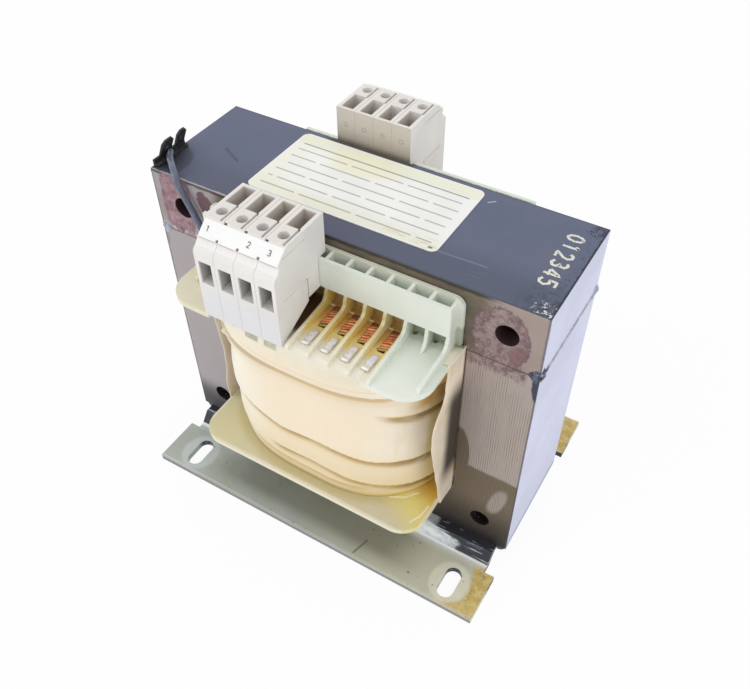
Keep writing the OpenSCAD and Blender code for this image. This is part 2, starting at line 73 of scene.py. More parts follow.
# Places that the finishes and pieces share, in millimetres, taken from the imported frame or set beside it
YOKE_LOW, YOKE_HIGH = span("core_i_yoke")
DECK_HIGH = span("former_upper_flange")[1]
WRAP_LOW, WRAP_HIGH = span("coil_wrap")
LUGS_LOW, LUGS_HIGH = span("coil_lugs_front")
WALL_TOP = span("carrier_front")[1].z
LABEL_LOW, LABEL_HIGH = span("rating_label")
CORE_TOP = YOKE_HIGH.z
JOINT_Z = YOKE_LOW.z
HALF_W = YOKE_HIGH.x
FACE_Y = YOKE_HIGH.y
DECK_Z = DECK_HIGH.z
FLANGE_Y = DECK_HIGH.y
HOLE_X = HALF_W - 12.5
HOLE_ZS = (20.5, 120.5)
HOLE_RADII = (3.9, 3.9)
WINDOW_X = (25.3, 49.9)
WINDOW_Z = (33.2, 107.7)
DIP_Z = 49.6
LUG_W = 2.5
LUG_STEP = (LUGS_HIGH.x - LUGS_LOW.x - LUG_W) / 3
LUG_XS = [LUGS_LOW.x + LUG_W / 2 + i * LUG_STEP for i in range(4)]
RIB_XS = [LUG_XS[0] + (i - 0.5) * LUG_STEP for i in range(5)]
LUG_BACK = -LUGS_HIGH.y
LUG_FRONT = -LUGS_LOW.y
POLE_BOXES = [span("front_terminal_%d" % i) for i in range(1, 5)]
POLE_XS = [(low.x + high.x) / 2 for low, high in POLE_BOXES]
POLE_PITCH = POLE_XS[1] - POLE_XS[0]
POLE_LOW = POLE_XS[0] - POLE_PITCH / 2
POLE_HIGH = POLE_XS[3] + POLE_PITCH / 2
POLE_TOP = POLE_BOXES[0][1].z
POLE_FRONT = -POLE_BOXES[0][0].y
STRIP_LOW_Z = span("marker_strip_front")[0].z
STRIP_TILT = math.radians(39.8)

# The winding's full-sided outline, and the hem where its tape turns up under the deck
COIL_POWER = 2.8
HEM_Z = DECK_Z - 14.0
HEM_OUT = 53.4
RIDGE_UP = 4.1

# Tape edges on the coil: reach in X, step, darkening of the painted shade under the edge, and heights above
# its foot at the left, middle and right
TAPE_EDGES = (
    (-60, 60, 0.85, 0.9, (28.6, 25.4, 20.4)),
    (-12, 60, 0.75, 0.9, (14.6, 12.4, 5.2)),
    (-26, 24, 0.4, 0.4, (9.0, 6.0, 3.4)),
    (31, 60, 0.5, 0.95, (51.0, 51.0, 44.9)),
)

# How far the hand-cut sheets reach out of the core's face: share of the drop below their top, and reach
SHEET_TOP = DECK_Z + 0.75
SHEET_DROP = 75
SHEET_THICK = 0.6
TAB_START = 26.15
RIGHT_FLAP = (
    (0, 11), (0.17, 11.3), (0.225, 13.2), (0.26, 16.4), (0.3, 18.4), (0.36, 19.3), (0.47, 18.8), (0.62, 16.4),
    (0.8, 13.2), (1.04, 9.2)
)
LEFT_FLAP = ((0, 9.8), (0.42, 8.8), (0.62, 7.4), (0.78, 7.8), (0.86, 9.3), (1.03, 8.8))

# Painted glints on the lower flange, round the foot of the coil and inside the corner: start and end
GLINT_LINES = (
    ((33.0, 42.2), (37.6, 39.7)),
    ((37.6, 39.7), (41.2, 35.2)),
    ((44.6, 48.0), (46.6, 43.8)),
    ((46.6, 43.8), (47.2, 38.6)),
)

# Plain digits as lines through a square of side 1
DIGITS = {
    "0": [[
        (0.5, 1), (0.15, 0.85), (0, 0.5), (0.15, 0.15), (0.5, 0),
        (0.85, 0.15), (1, 0.5), (0.85, 0.85), (0.5, 1)
    ]],
    "1": [[(0.2, 0.75), (0.55, 1), (0.55, 0)]],
    "2": [[(0.05, 0.8), (0.3, 1), (0.7, 1), (0.95, 0.78), (0.85, 0.5), (0.1, 0.0), (1, 0)]],
    "3": [[
        (0.05, 0.9), (0.4, 1), (0.85, 0.85), (0.8, 0.6), (0.45, 0.52),
        (0.9, 0.38), (0.9, 0.12), (0.45, 0), (0, 0.12)
    ]],
    "4": [[(0.75, 0), (0.75, 1), (0, 0.3)], [(0.1, 0.3), (1, 0.3)]],
    "5": [[(0.95, 1), (0.15, 1), (0.1, 0.58), (0.6, 0.62), (0.95, 0.35), (0.75, 0.05), (0.35, 0), (0, 0.12)]],
}


class Shade:
    """A value in a finish's node tree, so that shader maths reads as an expression."""

    def __init__(self, finish, socket):
        self.finish = finish
        self.socket = socket
        self.spread = socket.type in {"VECTOR", "RGBA"}

    def __add__(self, other):
        return self.finish.maths("ADD", self, other)

    def __radd__(self, other):
        return self.finish.maths("ADD", other, self)

    def __sub__(self, other):
        return self.finish.maths("SUBTRACT", self, other)

    def __rsub__(self, other):
        return self.finish.maths("SUBTRACT", other, self)

    def __mul__(self, other):
        return self.finish.maths("MULTIPLY", self, other)

    def __rmul__(self, other):
        return self.finish.maths("MULTIPLY", other, self)

    def __truediv__(self, other):
        return self.finish.maths("DIVIDE", self, other)

    def __rtruediv__(self, other):
        return self.finish.maths("DIVIDE", other, self)

    def __pow__(self, other):
        return self.finish.maths("POWER", self, other)

    def __abs__(self):
        return self.finish.maths("ABSOLUTE", self)

    def rise(self, low, high):
        """Climbs smoothly from 0 to 1 from low to high. It falls where low is the larger."""
        limits = {"Value": self, "From Min": low, "From Max": high}
        return self.finish.node("MapRange", {"interpolation_type": "SMOOTHSTEP"}, limits)

    def within(self, low, high, soft):
        """1 between low and high, with soft edges."""
        return self.rise(low - soft, low + soft) * self.rise(high + soft, high - soft)

    def wave(self, pitch):
        """A sine between -1 and 1 that comes round once a pitch."""
        return self.finish.maths("SINE", self * (2 * math.pi / pitch))

    def off_middle(self, pitch):
        """How far a place lies from the middle of the pitch that it falls in."""
        phase = self * (1 / pitch)
        return abs(phase - self.finish.maths("FLOOR", phase) - 0.5) * pitch

    def about(self, width):
        """Noise from 0 to 1, moved to lie evenly about 0 and scaled to a width."""
        return (self - 0.5) * width

    def mix(self, first, second):
        """The first colour where this mask is 0, the second where it is 1."""
        return self.finish.blend(self, first, second)

    def mottle(self, first, second, soft=0.2):
        """Patches of two colours, with edges this soft on both sides of the noise's middle."""
        return self.rise(0.5 - soft, 0.5 + soft).mix(first, second)

    def lay(self, mask, tone):
        """Lays a tone over this colour where the mask is 1."""
        self.socket = self.finish.blend(mask, self, tone).socket

    def tint(self, amount):
        """Makes this colour lighter or darker by a value round 1."""
        values = {0: self, "Scale": amount}
        self.socket = self.finish.node("VectorMath", {"operation": "SCALE"}, values).socket


class Finish:
    """A procedural material. Places are in millimetres, in the row frame."""

    def __init__(self, name):
        self.material = bpy.data.materials.new(name)
        self.material.use_nodes = True
        self.tree = self.material.node_tree
        self.shader = self.tree.nodes["Principled BSDF"]
        self.place = self.node("TexCoord", out="Object") * (1 / MM)
        self.axes = self.parts(self.place)
        self.east, self.north, self.up = self.parts(self.node("TexCoord", out="Normal"))

    def node(self, kind, settings=None, values=None, out=0):
        """Makes a node, sets it up, fills or links its sockets, and returns one of its outputs."""
        made = self.tree.nodes.new("ShaderNode" + kind)
        for key, value in (settings or {}).items():
            setattr(made, key, value)
        for key, value in (values or {}).items():
            socket = made.inputs[key]
            if isinstance(value, Shade):
                self.tree.links.new(value.socket, socket)
            elif socket.type == "VECTOR" and not isinstance(value, tuple):
                socket.default_value = (value, value, value)
            else:
                socket.default_value = value
        return Shade(self, made.outputs[out])

    def maths(self, operation, *terms):
        wide = any(isinstance(t, tuple) or (isinstance(t, Shade) and t.spread) for t in terms)
        kind = "VectorMath" if wide else "Math"
        return self.node(kind, {"operation": operation}, dict(enumerate(terms)))

    def parts(self, vector):
        split = self.node("SeparateXYZ", None, {0: vector})
        return [Shade(self, socket) for socket in split.socket.node.outputs]

    def least(self, first, *others, operation="MINIMUM"):
        for other in others:
            first = self.maths(operation, first, other)
        return first

    def most(self, *values):
        return self.least(*values, operation="MAXIMUM")

    def blend(self, mask, first, second):
        """Mixes two colours, each a shade, screen values from 0 to 255 or a colour of the panel."""
        def tone(colour):
            if isinstance(colour, Shade):
                return colour
            return paint(*colour) if isinstance(colour, tuple) else (*colour, 1.0)
        values = {0: mask, 6: tone(first), 7: tone(second)}
        return self.node("Mix", {"data_type": "RGBA"}, values, out=2)

    def cloud(self, size, detail=2.0, rough=0.5, stretch=(1, 1, 1), shift=0.0, warp=0.0):
        """Noise from 0 to 1 with patches about size millimetres across."""
        scale = tuple(1 / (size * s) for s in stretch)
        at = self.place * scale + (shift, shift, shift)
        values = {"Vector": at, "Scale": 1.0, "Detail": detail, "Roughness": rough, "Distortion": warp}
        return self.node("TexNoise", None, values)

    def oval(self, across, up, centre, radii, power=2.0):
        """1 on the outline of an ellipse, or of a fuller shape at a higher power, and less inside it."""
        first = abs(across - centre[0]) * (1 / radii[0])
        second = abs(up - centre[1]) * (1 / radii[1])
        return (first ** power + second ** power) ** (1 / power)

    def stroke(self, across, up, start, end, width):
        """1 on a straight mark from start to end, falling to 0 at width from it."""
        run = (end[0] - start[0], end[1] - start[1])
        length = math.hypot(*run)
        along = (across - start[0]) * (run[0] / length) + (up - start[1]) * (run[1] / length)
        aside = abs((across - start[0]) * (run[1] / length) - (up - start[1]) * (run[0] / length))
        past = self.most(along * -1, along - length, 0.0)
        return (aside + past).rise(width, width * 0.4)

    def surface(self, colour, rough, height=None, metal=None, coat=None, fixed=None):
        """Feeds the shader: what varies by link, and what is the same all over on its own sockets."""
        varied = {"Base Color": colour, "Roughness": rough, "Metallic": metal, "Coat Weight": coat}
        if height is not None:
            settings = {"Strength": 1.0, "Distance": MM, "Height": height}
            varied["Normal"] = self.node("Bump", None, settings)
        for key, value in varied.items():
            if isinstance(value, Shade):
                self.tree.links.new(value.socket, self.shader.inputs[key])
            elif value is not None:
                self.shader.inputs[key].default_value = value
        for key, value in (fixed or {}).items():
            self.shader.inputs[key].default_value = value
        return self.material


def lamination_finish(look):
    """Varnished core: slate paint on top, pale paint on the ends, bare varnished sheets in front."""
    f = Finish("lamination_stack")
    x, y, z = f.axes
    soft = f.cloud(22, 3)
    fine = f.cloud(1.1, 3, 0.6)
    grain = f.cloud(0.5, 2, 0.6)
    ragged = f.cloud(2.2, 4, 0.65, warp=0.6)

    # Top: slate paint with scratches, scuffs at the numbers' end and a dark patch round the earth tab
    top = soft.mottle(look.top_colour, (102, 108, 131))
    top.lay(y.rise(-3, -17) * 0.75, (86, 91, 110))
    top.tint(0.97 + 0.06 * fine)
    hair = f.cloud(1.0, 2, 0.5, (14, 0.35, 1), 3.1)
    top.lay(hair.rise(0.66, 0.74) * 0.18, (150, 154, 170))
    dark_hair = f.cloud(1.0, 3, 0.5, (0.5, 9, 1), 8.4)
    top.lay(dark_hair.rise(0.68, 0.76) * 0.3, (72, 78, 96))
    mark = f.stroke(x, y + soft.about(2), (-59.7, -1.4), (-51.5, -5.6), 0.85)
    top.lay(mark * fine.rise(0.25, 0.5) * 0.7, (70, 75, 92))
    dash = f.stroke(x, y, (34.9, 17.4), (36.9, 19.2), 0.35)
    top.lay(dash * 0.8, (200, 203, 220))
    streak = f.stroke(x, y, (28, -13.5), (49, -12.6), 0.5)
    top.lay(streak * 0.35, (150, 152, 170))
    tab = f.oval(x, y, (-74.2, -18.0), (9.8, 11.0)) + ragged.about(0.07)
    top.lay(tab.rise(1.08, 0.9) * 0.9, (70, 72, 88))
    top.lay(tab.rise(0.8, 0.35) * 0.85, (40, 41, 50))
    corner = x.rise(58, 70) * y.rise(-5, -19)
    top.lay(corner * ragged.rise(0.4, 0.62) * 0.7, (58, 64, 76))
    back_corner = f.oval(x, y, (72.5, 21.0), (4.6, 5.2)).rise(1.2, 0.5)
    strip = x.within(70.2, 76, 0.6) * y.within(-24, 26, 2) * 0.6
    scuff_zone = f.most(back_corner, strip, x.within(64, 71, 1) * y.within(-16, 14, 3) * 0.42)
    scuffs = (f.cloud(1.2, 4, 0.72, (1, 1.4, 1), 2.7, 1.2) + scuff_zone * 0.2).rise(0.68, 0.74) * scuff_zone
    top.lay(scuffs, (50, 55, 66))
    chip_zone = x.rise(66.8, 68.6) * y.rise(-17, -19.5)
    chips = f.cloud(1.15, 3, 0.6, shift=5.9, warp=0.8)
    top.lay(chip_zone * chips.rise(0.57, 0.62), (232, 232, 240))
    edge_noise = f.cloud(3.0, 3, 0.6, (1, 0.5, 1), 9.2)
    right_edge = (x + edge_noise.about(1.1)).rise(HALF_W - 0.95, HALF_W - 0.5)
    top.lay(right_edge * 0.92, (40, 43, 56))
    back_edge = (y + edge_noise.about(0.5)).rise(FACE_Y - 0.75, FACE_Y - 0.3)
    top.lay(back_edge * 0.75, (60, 62, 80))
    shaded = y.rise(17.5, 20.5) * x.within(POLE_LOW - 1, POLE_HIGH + 4, 1.5)
    top.lay(shaded * 0.85, (74, 68, 62))
    front_left = x.rise(-28, -40) * (y + ragged.about(1.6)).rise(-FACE_Y + 0.9, -FACE_Y + 0.2)
    top.lay(front_left * 0.8, (196, 189, 192))
    front_edge = x.rise(-20, 0) * (y + edge_noise.about(0.9)).rise(-FACE_Y + 1.0, -FACE_Y + 0.35)
    top.lay(front_edge * 0.7, (74, 78, 92))

    # Ends: thin pale paint with a dark joint line, thicker towards the front
    pale = soft.mottle(look.side_colour, (220, 223, 246), 0.15)
    pale.lay(z.rise(60, 10) * 0.6, (203, 208, 228))
    pale.tint(0.985 + 0.03 * fine)
    seam_z = JOINT_Z - 0.6 + f.cloud(9, 3, 0.6, (1, 1, 3), 6.6).about(2.6)
    seam_w = 0.35 + y.rise(2, -FACE_Y) * 0.75
    seam = (abs(z - seam_z) / seam_w).rise(1.2, 0.7)
    seam_tone = y.rise(-20, -8).mix((70, 78, 104), (158, 165, 192))
    pale.lay(seam * 0.9, seam_tone)
    front_rim = (y + edge_noise.about(0.9)).rise(-FACE_Y + 0.75, -FACE_Y + 0.3)
    pale.lay(front_rim * 0.7, (104, 108, 128))
    low_rim = (z + ragged.about(3)).rise(12.5, 10) * 0.5
    pale.lay(low_rim, (120, 126, 148))

    # Front and back: varnished sheets, with ragged stains round the upper holes
    limb = x.rise(-20, 20)
    bare = limb.mix((172, 164, 168), look.front_colour)
    bare.lay(f.cloud(13, 2).rise(0.35, 0.7) * 0.5, (150, 135, 126))
    olive = f.cloud(4, 3, 0.6, (3, 1, 1), 2.4).mottle((92, 86, 70), (112, 102, 84), 0.15)
    brown = (x + ragged.about(3)).rise(59, 53) * x.rise(-50, -44) * z.rise(JOINT_Z - 1, JOINT_Z + 1)
    bare.lay(brown * 0.92, olive)
    ledge_z = z + f.cloud(2.0, 3, 0.6, (3, 1, 1), 7.2).about(2.2)
    ledge = ledge_z.rise(CORE_TOP - 1.6, CORE_TOP - 0.9) * x.rise(62, 52)
    bare.lay(ledge * 0.8, (54, 50, 46))
    yoke = z.rise(JOINT_Z - 0.3, JOINT_Z + 0.1)
    wave = f.maths("SINE", x * (2 * math.pi / look.line_pitch) + f.cloud(9, 2, 0.5, (1, 1, 6)).about(1.6))
    line_height = wave.rise(-1, 1)
    lines = x.rise(47, 51) * (1 - yoke) + x.rise(-47, -51) * (1 - yoke) * 0.15
    limb_tone = line_height.mix((148, 136, 131), (192, 179, 171))
    limb_tone.lay(f.cloud(3.2, 3, 0.6, (1, 1, 5), 1.9).rise(0.35, 0.68), (178, 166, 160))
    bare.lay(lines * 0.85, limb_tone)

    ring = f.oval(x, z, (60.6, 118.0), (9.9, 12.8)) + ragged.about(0.34)
    fringe_z = z + f.cloud(1.6, 3, 0.7, (0.6, 1, 2.4), 4.4).about(9)
    fringe = x.within(49.5, 70.5, 0.8) * fringe_z.within(103.5, 109, 1.6)
    darkening = f.most(ring.rise(1.02, 0.95), fringe)
    pinks = f.cloud(2.6, 4, 0.7).rise(0.36, 0.64).mix((118, 97, 97), (158, 138, 138))
    pinks.lay(grain.rise(0.6, 0.72) * 0.75, (196, 184, 186))
    red = f.oval(x, z, (67.2, 113.4), (3.6, 5.2)) + ragged.about(0.9)
    pinks.lay(red.rise(1.15, 0.7) * 0.75, (126, 92, 94))
    bare.lay(darkening, pinks)
    rim = abs(ring - 0.97).rise(0.06, 0.02) * z.rise(108, 112) * 0.55
    bare.lay(rim, (108, 82, 86))
    joint = abs(z - JOINT_Z + ragged.about(1.1)).rise(0.5, 0.15) * x.rise(47, 50)
    bare.lay(joint * 0.75, (92, 76, 76))
    left_joint = abs(z - JOINT_Z - 0.4 + ragged.about(1.6)).rise(0.75, 0.2) * x.rise(-46, -50)
    grit = f.cloud(0.9, 3, 0.7, (2, 1, 0.7), 6.2).rise(0.56, 0.64) * z.within(104, 107.4, 0.6) * darkening
    bare.lay(grit * 0.6, (192, 180, 180))

    left_a = f.oval(x, z, (-65.2, 121.5), (6.9, 13.2), 4.0) + ragged.about(0.3)
    left_b = f.oval(x + (z - 125) * 0.25, z, (-51.6, 125.0), (3.6, 5.8)) + ragged.about(0.8)
    left_pink = f.cloud(3.4, 4, 0.7, shift=7.7).rise(0.34, 0.66).mix((134, 100, 108), (170, 142, 149))
    left_pink.lay(f.cloud(1.0, 3, 0.6, (0.5, 1, 5), 3.9).rise(0.6, 0.68) * 0.6, (200, 186, 190))
    left_pink.lay(left_a.rise(0.72, 0.98) * 0.5, (118, 86, 98))
    bare.lay(left_a.rise(1.05, 0.9) * yoke, left_pink)
    bare.lay(left_b.rise(1.05, 0.9) * yoke, (116, 88, 94))
    pale_run = f.cloud(1.3, 3, 0.65, (0.7, 1, 1.6), 5.1).rise(0.5, 0.6) * z.within(107.6, 110.6, 0.8)
    bare.lay(pale_run * x.rise(-56, -60) * 0.8, (206, 192, 198))
    left_low = x.rise(-46, -50) * (1 - yoke)
    grade = z.rise(17, 29).mix((112, 111, 117), (176, 169, 172))
    bare.lay(left_low * 0.85, grade)
    bare.lay(left_joint * 0.7, (118, 92, 100))

    # Below, the varnish that the core was dipped in, darker towards the foot, with a painted shadow where the
    # limb stands on the foot
    dip_line = DIP_Z + f.cloud(7, 2, 0.5, (1, 1, 3), 3.3).about(2.5)
    lobe = f.oval(x, z, (50.0, 54.0), (5.2, 15.5))
    dipped = f.most((z - dip_line).rise(0.9, -0.9), lobe.rise(1.06, 0.92)) * x.rise(30, 46)
    spot = f.oval(x - (z - 35.5) * 0.24, z, (68.2, 35.5), (2.9, 8.2), 2.4) + fine.about(0.12)
    dipped = dipped * (1 - spot.rise(1.2, 0.75) * 0.72)
    dark = z.rise(36, 13).mix((114, 101, 84), (61, 55, 50))
    dark.tint(0.88 + 0.26 * line_height)
    bare.lay(dipped, dark)
    rim_low = abs(z - dip_line).rise(1.1, 0.3) * x.rise(44, 50) * 0.35
    bare.lay(rim_low * (1 - lobe.rise(1.06, 0.92)), (92, 78, 60))
    # Painted shadow along the bottom of the limb, where it meets the foot
    foot_shadow = (z + ragged.about(2)).rise(14.5, 9.5) * x.rise(30, 46)
    bare.lay(foot_shadow * 0.75, (38, 35, 34))
    left_dip = z.rise(26, 12) * x.rise(-30, -46)
    bare.lay(left_dip * 0.8, (62, 60, 63))
    side_rim = (abs(x) + edge_noise.about(0.8)).rise(HALF_W - 0.9, HALF_W - 0.35)
    bare.lay(side_rim * 0.6, (78, 78, 92))
    weld_soot = f.oval(x, z, (75.4, 103.8), (2.7, 7.6)) + ragged.about(0.5)
    bare.lay(weld_soot.rise(1.05, 0.85), (62, 68, 84))
    left_soot = f.oval(x, z, (-75.4, 103.2), (2.2, 4.5)) + ragged.about(0.5)
    bare.lay(left_soot.rise(1.05, 0.85) * 0.4, (120, 118, 126))
    bare.tint(0.95 + 0.1 * fine)

    hole = f.least(*[f.oval(x, z, (sx * HOLE_X, cz), HOLE_RADII) for sx in (-1, 1) for cz in HOLE_ZS])
    bore = hole.rise(1.05, 1.02)
    dust = f.cloud(0.8, 2, 0.5, shift=1.7).rise(0.66, 0.7) * z.rise(60, 50)
    # Painted shade inside the bores, deepest in the lower ones, with white dust
    inside = z.rise(60, 80).mix((30, 22, 22), (66, 45, 48))
    inside.lay(dust * 0.6, (196, 196, 196))

    is_top = f.up.rise(0.6, 0.8) * z.rise(CORE_TOP - 1.5, CORE_TOP - 0.7)
    is_end = abs(f.east).rise(0.6, 0.8) * (1 - bore)
    colour = is_end.mix(bare, pale)
    colour.lay(bore * (1 - is_top), inside)
    colour.lay(is_top, top)
    window = abs(x).within(*WINDOW_X, 0.3) * z.within(*WINDOW_Z, 0.3)
    colour.lay(window * is_end, (96, 88, 80))

    sheets = y.wave(0.5).rise(-1, 1) * is_end * 0.012
    side_height = line_height * lines * 0.05 + darkening * grain * 0.10 + fine * 0.03
    height = is_top.mix(side_height, soft * 0.10 + fine * 0.012)
    rough = is_top.mix(0.52 + 0.14 * fine, 0.44 + 0.12 * soft)
    return f.surface(colour, rough, height=height + sheets, fixed={"Specular IOR Level": 0.3})


def weld_finish():
    f = Finish("weld_metal")
    x, y, z = f.axes
    lumps = f.cloud(1.6, 4, 0.6)
    colour = lumps.mottle((40, 45, 58), (96, 104, 124), 0.15)
    # Painted glints: pale specks on the dark weld
    colour.lay(f.cloud(0.7, 2, shift=3).rise(0.62, 0.7) * 0.7, (214, 218, 232))
    painted = lumps.mottle((150, 152, 168), (194, 196, 212))
    plain = f.most(abs(y + FACE_Y).rise(4.5, 7.5), x.rise(10, -10)) * z.rise(20, 30)
    colour.lay(plain, painted)
    return f.surface(colour, 0.34 + 0.3 * lumps, height=lumps * 0.5, metal=0.15)


def plated_finish(look):
    """Dull zinc on the feet: witness rings round the slots, a gilded end and a dark riser."""
    f = Finish("plated_steel")
    x, y, z = f.axes
    soft = f.cloud(18, 3)
    fine = f.cloud(1.3, 4, 0.65)
    out = abs(y)
    flat = f.up.rise(0.6, 0.8)
    colour = soft.mottle(look.plate_colour, (176, 182, 172))
    # Painted light: lighter towards the right, where the body shades the foot
    colour.lay(x.rise(-20, 60) * 0.8, (216, 215, 193))
    shade = (x + soft.about(12)).within(-44, 42, 11) * out.rise(FLANGE_Y - 0.5, FLANGE_Y - 8)
    colour.lay(shade * flat * 0.62, (104, 103, 86))
    ring = f.oval(abs(x), out, (look.slot_x, look.slot_y), (8.0, 9.0)) + fine.about(0.08)
    gilt = (x + f.cloud(6, 3, 0.6, shift=2.2).about(9)).rise(66, 70)
    below = (f.oval(x, out, (68, 53.5), (11, 4)) + fine.about(0.9)).rise(1.1, 0.4) * x.rise(0, 10)
    gold = f.cloud(3, 3).mottle((202, 172, 86), (224, 202, 126), 0.15)
    gold.lay(f.cloud(1.6, 3, 0.6, shift=3.4).rise(0.56, 0.64) * 0.5, (150, 126, 74))
    colour.lay(f.most(gilt, below) * flat * 0.92, gold)
    witness = x.rise(0, 40).mix((206, 214, 210), (240, 239, 220))
    colour.lay(ring.rise(1.12, 0.88) * flat * 0.75, witness)
    outline = abs(ring - 1.02).rise(0.04, 0.01) * flat * fine.rise(0.4, 0.6)
    colour.lay(outline * 0.14, (136, 140, 130))
    specks = f.cloud(2.0, 2, 0.5, shift=5.5).rise(0.7, 0.73)
    colour.lay(specks * 0.7, (78, 80, 72))
    drip = f.stroke(x, out, (22.5, 53.5), (24.5, 46.0), 0.6)
    colour.lay(drip * 0.6 * flat, (84, 76, 56))
    # Painted highlight along the front edge of the flange
    bright = out.within(FLANGE_Y + 0.25, FLANGE_Y + 0.85, 0.2) * flat
    colour.lay(bright * 0.6, (226, 228, 218))

    riser = f.up.rise(0.85, 0.7) * out.rise(45, 40)
    ledge = z.rise(6.4, 7.4) * f.up.rise(0.4, 0.8)
    upper = f.most(riser, ledge)
    patchy = f.cloud(4, 3, 0.65, (1.6, 1, 1), 6.4).about(12)
    start = 55 - 10 * ledge
    black_end = f.most((x + patchy - start).rise(-2, 3), (x + patchy * 0.5).rise(-52, -57))
    shine = f.cloud(0.8, 3, 0.6, (16, 1, 0.7), 4.8)
    steel = f.cloud(5, 3, 0.6, (3, 1, 1), 1.4).mottle((172, 186, 198), (240, 245, 248), 0.15)
    dark = shine.rise(0.60, 0.66).mix((46, 48, 58), (196, 202, 214))
    dark.lay(f.cloud(3, 3, 0.6, (2, 1, 1), 8.8).rise(0.6, 0.68) * 0.6, (110, 120, 134))
    colour.lay(upper * 0.92, steel)
    colour.lay(black_end * upper, dark)
    # Painted highlight along the bend from the flange up into the riser
    bend = abs(z - 3.2).rise(0.7, 0.2) * out.rise(36, 32) * shine.rise(0.25, 0.45)
    colour.lay(bend * 0.85, (236, 239, 242))
    edge = z.rise(2.6, 2.0) * abs(f.north).rise(0.6, 0.9) * out.rise(50, 54)
    colour.lay(edge * 0.85, (126, 124, 132))
    # Painted shade on the faces that point down
    under = f.up.rise(-0.5, -0.8)
    colour.lay(under, (128, 130, 124))
    colour.tint(0.95 + 0.1 * fine)
    return f.surface(colour, 0.42 + 0.2 * fine, height=fine * 0.03 + soft * 0.08, metal=0.08 + 0.14 * soft)


